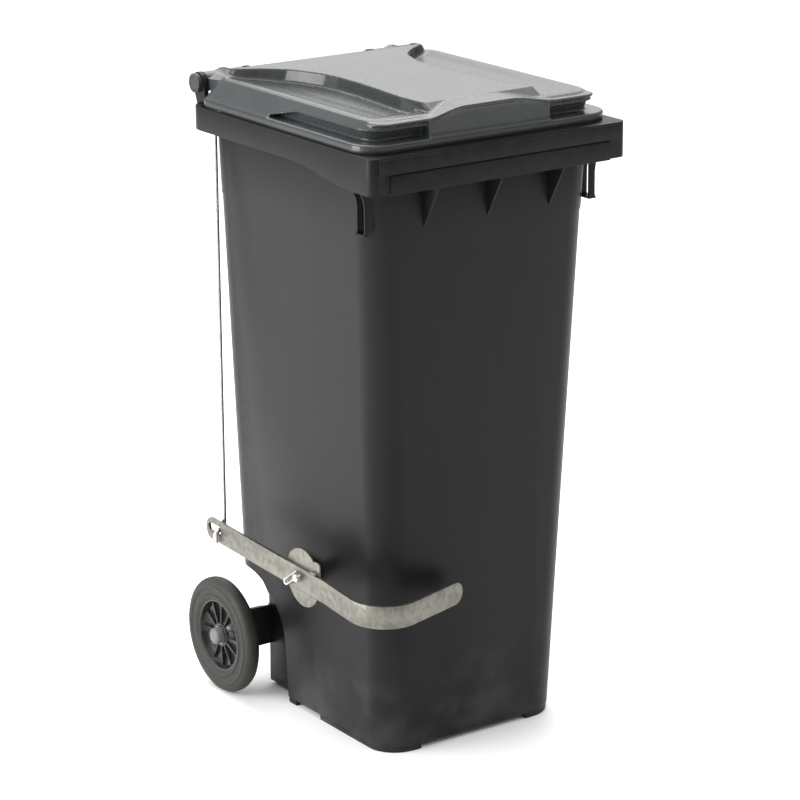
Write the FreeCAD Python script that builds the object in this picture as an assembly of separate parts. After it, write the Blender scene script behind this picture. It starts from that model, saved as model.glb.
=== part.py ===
import FreeCAD, Part
import math
import os

Vec = FreeCAD.Vector

# Two-wheeled refuse bin with a foot pedal that lifts the lid.  Millimetres, +Z up, front faces -Y,
# pedal on the -X side.  It is drawn with y = 0 at the front of the rim and z = 0 on the floor, and
# moved at the end so that the origin is the centre of its footprint on the floor.

# ---- container -------------------------------------------------------------------------------
RIM_WIDTH = 480.0          # over the side skirts of the rim
RIM_DEPTH = 525.0          # front of the rim to the rear skirt
RIM_HEIGHT = 990.0         # floor to the top of the rim
HALF_RIM = RIM_WIDTH / 2.0
WALL = 3.5                 # moulded wall of the container
RIM_OVERHANG = 27.0        # rim outside the side wall
SIDE_TAPER = 41.0          # how much each side wall comes in by the floor
TOP_HALF_WIDTH = HALF_RIM - RIM_OVERHANG
BASE_HALF_WIDTH = TOP_HALF_WIDTH - SIDE_TAPER
TOP_FRONT_Y = 34.0         # front wall at the rim
FRONT_TAPER = 37.0
BASE_FRONT_Y = TOP_FRONT_Y + FRONT_TAPER
REAR_WALL_Y = RIM_DEPTH - 20.0
TOP_CORNER_R = 50.0
BASE_CORNER_R = 42.0
BASE_LIFT = 6.0            # underside of the base above the floor
FOOT_WIDTH = 14.0          # width of the skid lips under the base
FRONT_FOOT_Y = 265.0       # rear end of the long front feet
REAR_FOOT_Y = (336.0, 360.0)
FLANGE_THICK = 4.0         # flat top of the rim
SKIRT_THICK = 3.6
SKIRT_FRONT_DROP = 56.0    # depth of the skirt at the front
SKIRT_REAR_DROP = 37.0     # depth of the skirt along the rear half
SKIRT_SLOPE_Y = (15.0, 205.0)   # where the skirt's lower edge rises
RIM_FRONT_R = 14.0
RIM_REAR_R = 42.0
COMB_PROUD = 3.0           # comb bands in front of the rim
COMB_TOP_DROP = 2.0
COMB_UPPER_HALF = HALF_RIM - 14.0
COMB_LOWER_HALF = HALF_RIM - 34.0
COMB_UPPER_HIGH = 23.0
COMB_LOWER_HIGH = 29.0
COMB_GROOVE = 3.0
GUSSET_X = HALF_RIM - 122.0    # outer pair of front gussets; one more stands in the middle
GUSSET_THICK = 4.0
GUSSET_DROP = 122.0
FIN_Y = (50.0, 70.0)       # the two fins of each corner flange
FIN_THICK = 3.0
FIN_DROP = 129.0
FIN_PROUD = 10.0

# ---- wheels and axle -------------------------------------------------------------------------
WHEEL_R = 98.0
TYRE_INNER_R = 0.62 * WHEEL_R
TYRE_WIDTH = 30.0
TYRE_PROUD = 2.0           # tyre outside the rim's width
TYRE_OUTER_X = HALF_RIM + TYRE_PROUD
TYRE_BEAD = 4.0            # how much narrower the tyre is at its seat
TYRE_SIDE = 10.0           # height of that slope
TYRE_SHOULDER = 8.0
TYRE_BULGE = 9.0           # tread corner to tread crown, from the sidewall's end
TYRE_CROWN = 2.0
RING_INSET = 4.0           # wheel ring inside each face of the tyre
AXLE_Y = RIM_DEPTH - 55.0
AXLE_R = 10.0
RUNNING_GAP = 0.05         # radial gap of every pin, shaft and bore
WELL_GAP = 14.0            # wheel well around the tyre
WELL_X = TYRE_OUTER_X - 92.0       # side wall inside the wheel well
AXLE_BOSS_R = 18.0
AXLE_BOSS_X = TYRE_OUTER_X - 54.0  # outer end of the boss that carries the axle
AXLE_BOSS_ROOT = 30.0      # how far the boss reaches inside the side wall
BOSS_WEB_THICK = 24.0      # web from the boss to the rear wall
BOSS_WEB_UP = 58.0
BOSS_WEB_DOWN = 50.0
LOW_REAR_Y = AXLE_Y - 22.0         # rear wall between the wheels
STEP_TOP_Z = 2.0 * WHEEL_R + 19.0  # where the low rear wall meets the upright one
WASHER_THICK = 3.0
HUB_GAP = 0.3
HUB_R = 21.0
HUB_INNER_X = AXLE_BOSS_X + WASHER_THICK + HUB_GAP
HUB_OUTER_X = TYRE_OUTER_X - 8.0
RIM_RING_THICK = 5.0
WEB_THICK = 4.0
SPOKE_COUNT = 12
SPOKE_THICK = 5.0
SPOKE_PROUD = 6.0          # spokes outside the web
CLIP_THICK = 2.0
CLIP_R = 15.0
CAP_R = 14.0
CAP_ROUND = 3.0
CAP_OUTER_X = TYRE_OUTER_X + 6.0
CAP_WALL = 2.0
AXLE_END_GAP = 2.0         # between the axle's end and the inside of its cap

# ---- lid and hinge ---------------------------------------------------------------------------
HINGE_Y = RIM_DEPTH + 5.0
HINGE_Z = RIM_HEIGHT + 30.0
PIN_R = 9.0
PIN_CAP_R = 15.5
PIN_CAP_THICK = 8.0
KNUCKLE_R = 16.0
EAR_THICK = 8.0
EAR_OUTER_X = TOP_HALF_WIDTH
EAR_INNER_X = HALF_RIM - 123.0
EAR_R = 17.0
SIDE_GAP = 2.0             # between an ear and the knuckle
NOTCH_HALF = 5.0           # drain notch in each hinge knuckle
HANDLE_Y = HINGE_Y + 23.0
HANDLE_Z = HINGE_Z - 20.0
HANDLE_R = 13.0
HANDLE_WEB = 2.0           # ear around the handle bar
LID_HALF_WIDTH = HALF_RIM - 7.0
LID_FRONT_Y = 22.0
LID_REAR_Y = RIM_DEPTH - 25.0
LID_FRONT_R = 45.0
LID_REAR_R = 28.0
LID_SEAT_GAP = 0.4         # lid edge above the rim
LID_BAND = 14.0            # upright edge band
LID_WALL = 3.0
LID_SHOULDER_Z = RIM_HEIGHT + 46.0
LID_PANEL_Z = RIM_HEIGHT + 59.0
LID_SLOPE = 26.0           # how far the side wall leans in
GRIP_REAR_Y = RIM_DEPTH - 263.0    # the finger recess runs from here round to the front
GRIP_DEPTH = 18.0
GRIP_HIGH = 18.0
BLOCK_HALF = HALF_RIM - 132.0      # middle block of the lid's front
PANEL_REAR_HALF = HALF_RIM - 64.0
PANEL_WAIST_HALF = HALF_RIM - 148.0
PANEL_FRONT_HALF = BLOCK_HALF
PANEL_WAIST_Y = (150.0, LID_REAR_Y - 200.0)
PANEL_FLARE_Y = LID_REAR_Y - 70.0
PANEL_MARGIN = (6.0, 24.0)     # lid outside the panel, at the front and at the rear
PANEL_STRAIGHT = 34.0      # parallel part of the panel behind its front edge
KNUCKLE_ARM = 34.0         # hinge arm in front of the lid's rear edge

# ---- pedal, rod and lid bracket --------------------------------------------------------------
PIVOT_Y = RIM_DEPTH - 308.0
PIVOT_Z = 277.0
PIVOT_R = 7.0
LEVER_TILT = 2.0           # rear end up at rest, degrees
LEVER_THICK = 5.0
LEVER_HIGH = 37.0
LEVER_BELOW = 21.0         # from the pivot down to the lever's lower edge
LEVER_OUTER_X = HALF_RIM - 2.0
LEVER_SPLAY_Y = PIVOT_Y - 70.0     # ahead of here the lever leans outwards
LEVER_SPLAY = 4.0          # degrees
LEVER_SPLAY_R = 60.0
LEVER_TIP = (-HALF_RIM * 0.2125, 36.0)
LEVER_HEADING = 16.0       # the foot bar runs back towards the body, degrees
LEVER_BEND_R = 58.0
LEVER_END = 9.5           # lever behind the slot's rear end
LEVER_END_R = 16.0
LEVER_TIP_R = 0.49 * LEVER_HIGH
LOBE_R = 45.0              # round lobe that hangs from the lever at its pivot
LOBE_FORWARD = 12.0
LOBE_BLEND_R = 7.0
ROD_R = 4.0
ROD_X = -HALF_RIM + 14.0
ROD_Y = RIM_DEPTH - 64.0
TAIL_GAP = 1.2             # between the lever and the rod's tail
TAIL_LENGTH = 20.0
SLOT_PLAY = 3.2            # above and below the rod in both slots
SLOT_END_PLAY = 1.5
LID_OPEN = 70.0            # lid travel, degrees
STRAP_THICK = 3.0
STRAP_GAP = 0.4
STRAP_EDGE = 5.0
STRAP_LENGTH = 40.0        # upper edge of the lid's push bracket
SCREW_R = 2.5
SCREW_HEAD_R = 4.6
SCREW_HEAD_THICK = 2.4
SCREW_INSET = (8.0, 32.0)  # screws ahead of the bracket's rear edge
LID_NUT = (8.0, 4.0)       # across flats, thickness
RIB_THICK = 4.0
RIB_LENGTH = 42.0
DISC_R = 46.0
DISC_THICK = 3.0
PIVOT_WASHER_THICK = 0.8
PIVOT_WASHER_R = 15.0
PIN_PROUD = 9.0            # pivot pin outside the lever
PIN_CHAMFER = 1.5
CLIP_WIRE_R = 1.5
CLIP_LEAN = 34.0           # the clip points down and to the rear, degrees
CLIP_LENGTH = 34.0
CLIP_LEG = (14.0, 8.0)     # legs of the clip past the pin
CLIP_PROUD = 5.0           # clip outside the lever
STOP_Y = (-50.0, -36.0)    # stop tab over the lever, measured from the pivot
STOP_GAP = 1.6
STOP_THICK = 3.0
STOP_ARM = 4.0             # foot of the stop's arm above the pivot, and the arm behind the tab
STOP_EAR = 14.0            # stop's arm above its tab
COLLAR_R = 14.0            # collar behind the round plate that holds the pivot pin
COLLAR_LENGTH = 14.0
FOOT_BEHIND = 66.0         # middle of the bracket's foot behind the pivot, and below it
FOOT_BELOW = 19.0
PAD_X = HALF_RIM - 50.0    # flat pad on the side wall for the bracket's foot
PAD_EDGE = 3.0
BASE_PLATE = (66.0, 42.0, 4.0)
BASE_PLATE_R = 8.0
STEM_THICK = 4.0           # plate that joins the foot to the round plate
BOLT_SPACING = (40.0, 22.0)
BOLT_R = 3.0
BOLT_CLEAR = 0.3
BOLT_HEAD = (6.5, 3.0, 2.0)    # radius, height, rounding
BOLT_END = 8.0             # bolt past the nut's seat
NUT = (10.0, 5.0)          # across flats, thickness

# ---- worked out from the above ---------------------------------------------------------------
WHEEL_Z = WHEEL_R
WELL_R = WHEEL_R + WELL_GAP
RIM_TOP = RIM_HEIGHT
FLANGE_BOTTOM = RIM_TOP - FLANGE_THICK
SKIRT_IN = HALF_RIM - SKIRT_THICK
ARM = HINGE_Y - ROD_Y                                  # rod in front of the hinge
HALF_SWING = math.radians(LID_OPEN / 2.0)
ROD_TOP_Z = HINGE_Z - ARM * math.tan(HALF_SWING)
ROD_TRAVEL = 2.0 * ARM * math.tan(HALF_SWING)
REAR_ARM = ROD_Y - PIVOT_Y
TILT = math.radians(LEVER_TILT)
ROD_BOTTOM_Z = PIVOT_Z + REAR_ARM * math.tan(TILT)
LEVER_SWING = math.atan(math.tan(TILT) + ROD_TRAVEL / REAR_ARM) - TILT
SLOT_NEAR = REAR_ARM / math.cos(TILT)
SLOT_FAR = REAR_ARM / math.cos(TILT + LEVER_SWING)
FOOT_Y = PIVOT_Y + FOOT_BEHIND
FOOT_Z = PIVOT_Z - FOOT_BELOW
LEVER_INNER_X = LEVER_OUTER_X - LEVER_THICK
LEVER_MID_X = LEVER_OUTER_X - LEVER_THICK / 2.0
DISC_OUTER_X = LEVER_INNER_X - PIVOT_WASHER_THICK - 0.2
DISC_INNER_X = DISC_OUTER_X - DISC_THICK
PIN_END_X = LEVER_OUTER_X + PIN_PROUD
CLIP_X = LEVER_OUTER_X + CLIP_PROUD
TAIL_X = -LEVER_OUTER_X - TAIL_GAP - ROD_R
HOOK_END_X = -TOP_HALF_WIDTH - 1.0
STRAP_OUTER_X = -ROD_X - ROD_R - STRAP_GAP
STRAP_INNER_X = STRAP_OUTER_X - STRAP_THICK
LID_BOTTOM = RIM_TOP + LID_SEAT_GAP
LID_BAND_TOP = LID_BOTTOM + LID_BAND
WALL_SLOPE = (TOP_HALF_WIDTH - BASE_HALF_WIDTH) / RIM_TOP
FRONT_SLOPE = (TOP_FRONT_Y - BASE_FRONT_Y) / RIM_TOP


def half_width(z):
    """Outside of the side wall at height z."""
    return BASE_HALF_WIDTH + WALL_SLOPE * z


def front_y(z):
    """Outside of the front wall at height z."""
    return BASE_FRONT_Y + FRONT_SLOPE * z


def block(x0, x1, y0, y1, z0, z1):
    return Part.makeBox(x1 - x0, y1 - y0, z1 - z0, Vec(x0, y0, z0))


def rod_x(x0, x1, y, z, radius):
    """Round bar along X between two places."""
    low = min(x0, x1)
    return Part.makeCylinder(radius, abs(x1 - x0), Vec(low, y, z), Vec(1, 0, 0))


def ring_x(x0, x1, y, z, outer, inner):
    return rod_x(x0, x1, y, z, outer).cut(rod_x(x0 - 1.0, x1 + 1.0, y, z, inner))


def fuse_all(shapes):
    whole = shapes[0].multiFuse(shapes[1:])
    return whole.removeSplitter()


def outline(half, y0, y1, front_r, rear_r, z):
    """Closed rounded rectangle, symmetric about x = 0, at height z."""
    turn = 1.0 - math.sqrt(0.5)
    fr, rr = front_r, rear_r
    ft, rt = turn * fr, turn * rr
    points = [
        ((-half + fr, y0), (half - fr, y0), (half - ft, y0 + ft)),
        ((half, y0 + fr), (half, y1 - rr), (half - rt, y1 - rt)),
        ((half - rr, y1), (-half + rr, y1), (-half + rt, y1 - rt)),
        ((-half, y1 - rr), (-half, y0 + fr), (-half + ft, y0 + ft)),
    ]
    edges = []
    for index, (start, end, mid) in enumerate(points):
        after = points[(index + 1) % 4][0]
        a, b, m, c = [Vec(p[0], p[1], z) for p in (start, end, mid, after)]
        edges.append(Part.makeLine(a, b))
        edges.append(Part.Arc(b, m, c).toShape())
    return Part.Wire(edges)


def slab(half, y0, y1, front_r, rear_r, z0, z1):
    face = Part.Face(outline(half, y0, y1, front_r, rear_r, z0))
    return face.extrude(Vec(0, 0, z1 - z0))


def plate_yz(points, x0, x1):
    """Flat plate in the YZ plane between two x places."""
    corners = [Vec(x0, y, z) for y, z in points]
    face = Part.Face(Part.makePolygon(corners + [corners[0]]))
    return face.extrude(Vec(x1 - x0, 0, 0))


def mirror_x(shape):
    return shape.mirror(Vec(0, 0, 0), Vec(1, 0, 0))


def both_sides(shape):
    return [shape, mirror_x(shape)]


# ---- container body --------------------------------------------------------------------------
def tub(inset, z0, z1):
    """The tapered tub, inset from its outside, between two heights."""
    rings = []
    for z, corner in ((z0, BASE_CORNER_R), (z1, TOP_CORNER_R)):
        ring = outline(half_width(z) - inset, front_y(z) + inset, REAR_WALL_Y - inset,
                       corner - inset, corner - inset, z)
        rings.append(ring)
    return Part.makeLoft(rings, True, True)


def wheel_room(grow):
    """What the wheels and the axle take out of the tub; grow adds the wall inside it."""
    radius = WELL_R + grow
    wells = []
    for side in (-1.0, 1.0):
        inner = side * (WELL_X - grow)
        outer = side * (TYRE_OUTER_X + 60.0)
        x0, x1 = min(inner, outer), max(inner, outer)
        wells.append(rod_x(x0, x1, AXLE_Y, WHEEL_Z, radius))
        wells.append(block(x0, x1, AXLE_Y - radius, RIM_DEPTH + 80.0, -20.0, WHEEL_Z))
    low = LOW_REAR_Y - grow
    back = RIM_DEPTH + 80.0
    rise = REAR_WALL_Y - LOW_REAR_Y
    top = STEP_TOP_Z + grow
    profile = [(low, -20.0), (back, -20.0), (back, top), (REAR_WALL_Y - grow, top), (low, top - rise)]
    wells.append(plate_yz(profile, -RIM_WIDTH / 2.0, RIM_WIDTH / 2.0))
    return wells


def make_skirt():
    """Rim: flat top and down-turned skirt, deeper towards the front."""
    low = RIM_TOP - SKIRT_FRONT_DROP
    outer = slab(HALF_RIM, 0.0, RIM_DEPTH, RIM_FRONT_R, RIM_REAR_R, low, RIM_TOP)
    inner = slab(SKIRT_IN, SKIRT_THICK, RIM_DEPTH - SKIRT_THICK, RIM_FRONT_R - SKIRT_THICK,
                 RIM_REAR_R - SKIRT_THICK, low - 1.0, FLANGE_BOTTOM)
    rear_low = RIM_TOP - SKIRT_REAR_DROP
    start, end = SKIRT_SLOPE_Y
    under = plate_yz([(start, low - 2.0), (start, low), (end, rear_low), (RIM_DEPTH + 5.0, rear_low),
                      (RIM_DEPTH + 5.0, low - 2.0)], -HALF_RIM - 5.0, HALF_RIM + 5.0)
    return outer.cut(inner).cut(under)


def make_ear(x0, x1, with_handle):
    """Upright ear that holds the hinge pin; the inner ones also hold the handle bar."""
    low = RIM_TOP - SKIRT_REAR_DROP + 2.0
    rear = RIM_DEPTH - SKIRT_THICK
    ear = plate_yz([(REAR_WALL_Y - 2.0, low), (rear, low), (HINGE_Y + EAR_R, HINGE_Z),
                    (HINGE_Y - EAR_R, HINGE_Z), (REAR_WALL_Y + 3.0, RIM_TOP)], x0, x1)
    pieces = [ear, rod_x(x0, x1, HINGE_Y, HINGE_Z, EAR_R)]
    if with_handle:
        pieces.append(rod_x(x0, x1, HANDLE_Y, HANDLE_Z, HANDLE_R + HANDLE_WEB))
        pieces.append(plate_yz([(rear, low), (HANDLE_Y, HANDLE_Z - HANDLE_R - HANDLE_WEB),
                                (HANDLE_Y + 12.0, HANDLE_Z + 9.0), (HINGE_Y + 12.0, HINGE_Z + 12.0),
                                (HINGE_Y - 8.0, HINGE_Z - 8.0)], x0, x1))
    return fuse_all(pieces)


def tub_outside():
    outer = tub(0.0, BASE_LIFT, FLANGE_BOTTOM)
    for room in wheel_room(0.0):
        outer = outer.cut(room)
    return outer


def rod_slot():
    """Slot through the flange of the rim that the rod and the lid's bracket pass through."""
    front = HINGE_Y - math.hypot(ARM, HINGE_Z - ROD_TOP_Z) - ROD_R - SLOT_PLAY - STRAP_EDGE - 3.0
    rear = HINGE_Y - ARM * math.cos(HALF_SWING) + ROD_R + SLOT_PLAY + STRAP_EDGE + 4.0
    return block(-SKIRT_IN + 3.0, -TOP_HALF_WIDTH - 0.5, front, rear, FLANGE_BOTTOM - 2.0, RIM_TOP + 5.0)


def make_container_body():
    """Tapered tub with its base, axle bosses and bracket pad."""
    inner = tub(WALL, BASE_LIFT + WALL, RIM_TOP + 1.0)
    for room in wheel_room(WALL):
        inner = inner.cut(room)
    pieces = [tub_outside()]

    # bosses that carry the axle
    pieces += both_sides(rod_x(WELL_X - AXLE_BOSS_ROOT, AXLE_BOSS_X, AXLE_Y, WHEEL_Z, AXLE_BOSS_R))
    web_rear = AXLE_Y + AXLE_BOSS_R * 2.0 / 3.0
    around = AXLE_BOSS_R * 2.0 / 3.0
    web = plate_yz([(LOW_REAR_Y - 2.0, WHEEL_Z - BOSS_WEB_DOWN), (web_rear, WHEEL_Z - around),
                    (web_rear, WHEEL_Z + around), (LOW_REAR_Y - 2.0, WHEEL_Z + BOSS_WEB_UP)],
                   WELL_X - BOSS_WEB_THICK, WELL_X)
    pieces += both_sides(web)

    # skid lips under the base
    base = tub(0.0, 0.0, BASE_LIFT + 1.0)
    hollow = tub(FOOT_WIDTH, -1.0, BASE_LIFT + 2.0)
    lip = base.cut(hollow)
    for room in wheel_room(0.0):
        lip = lip.cut(room)
    front_foot = block(GUSSET_X - FOOT_WIDTH, HALF_RIM, 0.0, FRONT_FOOT_Y, -1.0, BASE_LIFT + 2.0)
    rear_foot = block(GUSSET_X, HALF_RIM, REAR_FOOT_Y[0], REAR_FOOT_Y[1], -1.0, BASE_LIFT + 2.0)
    for foot in both_sides(front_foot) + both_sides(rear_foot):
        pieces.append(lip.common(foot))

    # flat pad for the pedal bracket
    pad_wide = BASE_PLATE[0] / 2.0 + PAD_EDGE
    pad_high = BASE_PLATE[1] / 2.0 + PAD_EDGE
    pieces.append(block(-PAD_X, -half_width(FOOT_Z) + WALL * 2.0, FOOT_Y - pad_wide, FOOT_Y + pad_wide,
                        FOOT_Z - pad_high, FOOT_Z + pad_high))

    body = fuse_all(pieces).cut(inner)
    body = body.cut(rod_x(-HALF_RIM, HALF_RIM, AXLE_Y, WHEEL_Z, AXLE_R + RUNNING_GAP))
    for y, z in bolt_places():
        body = body.cut(rod_x(-PAD_X - 5.0, -PAD_X + 40.0, y, z, BOLT_R + BOLT_CLEAR))
    return body.cut(rod_slot())


def make_container_rim():
    """Rim with its comb, front gussets and corner flanges; it meets the tub face to face."""
    pieces = [make_skirt()]

    # comb: two flat bands with a groove between them, which the lifting comb of a lorry grips
    upper_top = RIM_TOP - COMB_TOP_DROP
    upper_low = upper_top - COMB_UPPER_HIGH
    lower_top = upper_low - COMB_GROOVE
    lower_low = lower_top - COMB_LOWER_HIGH
    pieces.append(block(-COMB_UPPER_HALF, COMB_UPPER_HALF, -COMB_PROUD, SKIRT_THICK, upper_low, upper_top))
    pieces.append(block(-COMB_LOWER_HALF, COMB_LOWER_HALF, -COMB_PROUD, SKIRT_THICK, lower_low, lower_top))

    # gussets between the comb and the front wall
    foot_z = RIM_TOP - GUSSET_DROP
    wall_y = front_y(foot_z)
    gusset = [(SKIRT_THICK / 2.0, lower_low + 2.0), (wall_y - 3.0, foot_z), (wall_y + WALL, foot_z),
              (wall_y + WALL, FLANGE_BOTTOM + 1.0), (SKIRT_THICK / 2.0, FLANGE_BOTTOM + 1.0)]
    for x in (-GUSSET_X, 0.0, GUSSET_X):
        pieces.append(plate_yz(gusset, x - GUSSET_THICK / 2.0, x + GUSSET_THICK / 2.0))

    # corner flanges: two fins with a small web at the foot, under each front corner of the rim
    fin_low = RIM_TOP - FIN_DROP
    fin_in = half_width(fin_low) - WALL / 2.0
    fin_out = half_width(fin_low) + FIN_PROUD
    flange = []
    for y in FIN_Y:
        flange.append(block(fin_in, fin_out, y, y + FIN_THICK, fin_low, FLANGE_BOTTOM + 1.0))
    flange.append(block(fin_in, fin_out, FIN_Y[0], FIN_Y[1] + FIN_THICK, fin_low, fin_low + FIN_THICK))
    for fin in flange:
        pieces += both_sides(fin)

    # the mouth is open, and the hand gap lies in front of the handle bar
    rim = fuse_all(pieces).cut(tub(0.0, BASE_LIFT, FLANGE_BOTTOM))
    rim = rim.cut(tub(WALL, FLANGE_BOTTOM - 2.0, RIM_TOP + 2.0))
    rim = rim.cut(block(-EAR_INNER_X, EAR_INNER_X, REAR_WALL_Y, RIM_DEPTH + 5.0,
                        RIM_TOP - SKIRT_FRONT_DROP - 5.0, RIM_TOP + 5.0))
    return rim.cut(rod_slot())


def make_container_ears():
    """Ears for the hinge pins, and the handle bar between the inner ones; they stand on the rim."""
    pieces = []
    for x0, with_handle in ((EAR_OUTER_X - EAR_THICK, False), (EAR_INNER_X, True)):
        pieces += both_sides(make_ear(x0, x0 + EAR_THICK, with_handle))
    pieces.append(rod_x(-EAR_INNER_X - 1.0, EAR_INNER_X + 1.0, HANDLE_Y, HANDLE_Z, HANDLE_R))
    ears = fuse_all(pieces)
    ears = ears.cut(block(-HALF_RIM, HALF_RIM, 0.0, RIM_DEPTH, 0.0, RIM_TOP))
    return ears.cut(rod_x(-HALF_RIM, HALF_RIM, HINGE_Y, HINGE_Z, PIN_R + RUNNING_GAP))


# ---- lid -------------------------------------------------------------------------------------
def lid_ring(inset, z):
    return outline(LID_HALF_WIDTH - inset, LID_FRONT_Y + inset, LID_REAR_Y - inset * 0.6,
                   LID_FRONT_R - inset * 0.6, LID_REAR_R - inset * 0.4, z)


def lid_body(inset, z0, z1):
    """Band and leaning side wall, inset from the outside of the lid."""
    band = Part.Face(lid_ring(inset, z0)).extrude(Vec(0, 0, LID_BAND_TOP - z0))
    slope = Part.makeLoft([lid_ring(inset, LID_BAND_TOP - 0.5), lid_ring(inset + LID_SLOPE, z1)], True, True)
    return band.fuse(slope)


def panel(inset, z0, z1):
    """Raised middle of the lid: wide at the hinge, narrow in the waist."""
    rear_y = LID_REAR_Y - PANEL_MARGIN[1] - inset
    front = LID_FRONT_Y + PANEL_MARGIN[0] + inset
    side = [(PANEL_FRONT_HALF, front), (PANEL_FRONT_HALF, front + PANEL_STRAIGHT),
            (PANEL_WAIST_HALF, PANEL_WAIST_Y[0]), (PANEL_WAIST_HALF + 4.0, PANEL_WAIST_Y[1]),
            (PANEL_REAR_HALF, PANEL_FLARE_Y), (PANEL_REAR_HALF, rear_y)]
    right = [Vec(x - inset, y, z0) for x, y in side]
    left = [Vec(-x + inset, y, z0) for x, y in reversed(side)]
    face = Part.Face(Part.makePolygon(right + left + [right[0]]))
    return face.extrude(Vec(0, 0, z1 - z0))


def make_lid():
    shell = lid_body(0.0, LID_BOTTOM, LID_SHOULDER_Z)

    # finger recess on both sides and round the front corners, under the shoulder
    recess = slab(LID_HALF_WIDTH + 20.0, -20.0, GRIP_REAR_Y, 1.0, 1.0, LID_BAND_TOP, LID_BAND_TOP + GRIP_HIGH)
    keep = slab(LID_HALF_WIDTH - GRIP_DEPTH, LID_FRONT_Y + GRIP_DEPTH, GRIP_REAR_Y + 40.0,
                LID_FRONT_R - GRIP_DEPTH, 10.0, LID_BAND_TOP - 1.0, LID_BAND_TOP + GRIP_HIGH + 1.0)
    middle = block(-BLOCK_HALF, BLOCK_HALF, -25.0, GRIP_REAR_Y, LID_BAND_TOP - 1.0, LID_PANEL_Z)
    shell = shell.cut(recess.cut(keep).cut(middle))
    shell = shell.fuse(panel(0.0, LID_BAND_TOP + 1.0, LID_PANEL_Z))
    room = lid_body(GRIP_DEPTH + LID_WALL, LID_BOTTOM - 1.0, LID_SHOULDER_Z - LID_WALL)
    edge = slab(LID_HALF_WIDTH - LID_WALL, LID_FRONT_Y + LID_WALL, LID_REAR_Y - LID_WALL,
                LID_FRONT_R - LID_WALL, LID_REAR_R - LID_WALL, LID_BOTTOM - 1.0, LID_BAND_TOP - LID_WALL)
    rear_room = lid_body(LID_WALL, LID_BOTTOM - 1.0, LID_SHOULDER_Z - LID_WALL)
    rear_room = rear_room.common(block(-HALF_RIM, HALF_RIM, GRIP_REAR_Y + LID_WALL, LID_REAR_Y,
                                       LID_BOTTOM - 2.0, LID_SHOULDER_Z))
    shell = shell.cut(room).cut(edge).cut(rear_room)
    shell = shell.cut(panel(LID_WALL, LID_BAND_TOP - 1.0, LID_PANEL_Z - LID_WALL))

    # hinge arms and knuckles, each with a drain notch in the middle
    x0 = EAR_INNER_X + EAR_THICK + SIDE_GAP
    x1 = EAR_OUTER_X - EAR_THICK - SIDE_GAP
    top_z = HINGE_Z + KNUCKLE_R
    arm_y = LID_REAR_Y - KNUCKLE_ARM
    arm = plate_yz([(arm_y, LID_BAND_TOP + 12.0), (HINGE_Y, HINGE_Z - KNUCKLE_R),
                    (HINGE_Y, top_z), (arm_y, top_z - 6.0)], x0, x1)
    knuckle = arm.fuse(rod_x(x0, x1, HINGE_Y, HINGE_Z, KNUCKLE_R))
    middle_x = (x0 + x1) / 2.0
    notch = Part.Face(Part.makePolygon([Vec(middle_x - NOTCH_HALF, LID_REAR_Y, top_z + 2.0),
                                        Vec(middle_x + NOTCH_HALF, LID_REAR_Y, top_z + 2.0),
                                        Vec(middle_x, LID_REAR_Y, top_z - NOTCH_HALF),
                                        Vec(middle_x - NOTCH_HALF, LID_REAR_Y, top_z + 2.0)]))
    knuckle = knuckle.cut(notch.extrude(Vec(0, 60.0, 0)))
    pieces = [shell] + both_sides(knuckle)

    # rib inside the pedal side, which the push bracket is screwed to
    rib_low = LID_BOTTOM + 4.0
    rib = block(-STRAP_INNER_X, -STRAP_INNER_X + RIB_THICK, strap_rear() - RIB_LENGTH, strap_rear(),
                rib_low, LID_SHOULDER_Z - 10.0)
    pieces.append(rib)
    lid = fuse_all(pieces)
    lid = lid.cut(rod_x(-HALF_RIM, HALF_RIM, HINGE_Y, HINGE_Z, PIN_R + RUNNING_GAP))
    for y, z in strap_screw_places():
        lid = lid.cut(rod_x(-STRAP_OUTER_X, -STRAP_INNER_X + RIB_THICK + 1.0, y, z, SCREW_R + RUNNING_GAP))
    return lid


def make_hinge_pin():
    """Push-in pin with a round cap, right-hand side."""
    pin = rod_x(EAR_INNER_X - 4.0, EAR_OUTER_X + 0.5, HINGE_Y, HINGE_Z, PIN_R)
    cap = rod_x(EAR_OUTER_X + 0.3, EAR_OUTER_X + PIN_CAP_THICK, HINGE_Y, HINGE_Z, PIN_CAP_R)
    return pin.fuse(cap).removeSplitter()


# ---- wheels ----------------------------------------------------------------------------------
def make_tyre():
    """Solid rubber tyre with a rounded tread, right-hand side."""
    mid = TYRE_OUTER_X - TYRE_WIDTH / 2.0
    half = TYRE_WIDTH / 2.0
    side_r = WHEEL_R - TYRE_BULGE
    seat = half - TYRE_BEAD
    flat = half - TYRE_SHOULDER
    wide_r = TYRE_INNER_R + TYRE_SIDE
    tread_r = WHEEL_R - TYRE_CROWN
    pts = [Vec(mid - seat, TYRE_INNER_R, 0), Vec(mid - half, wide_r, 0),
           Vec(mid - half, side_r, 0), Vec(mid - flat, tread_r, 0),
           Vec(mid + flat, tread_r, 0), Vec(mid + half, side_r, 0),
           Vec(mid + half, wide_r, 0), Vec(mid + seat, TYRE_INNER_R, 0)]
    edges = [Part.makeLine(pts[0], pts[1]), Part.makeLine(pts[1], pts[2]), Part.makeLine(pts[2], pts[3])]
    edges.append(Part.Arc(pts[3], Vec(mid, WHEEL_R, 0), pts[4]).toShape())
    edges += [Part.makeLine(pts[i], pts[(i + 1) % 8]) for i in (4, 5, 6, 7)]
    profile = Part.Face(Part.Wire(edges))
    tyre = profile.revolve(Vec(0, 0, 0), Vec(1, 0, 0), 360)
    tyre.translate(Vec(0, AXLE_Y, WHEEL_Z))
    return tyre


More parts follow.
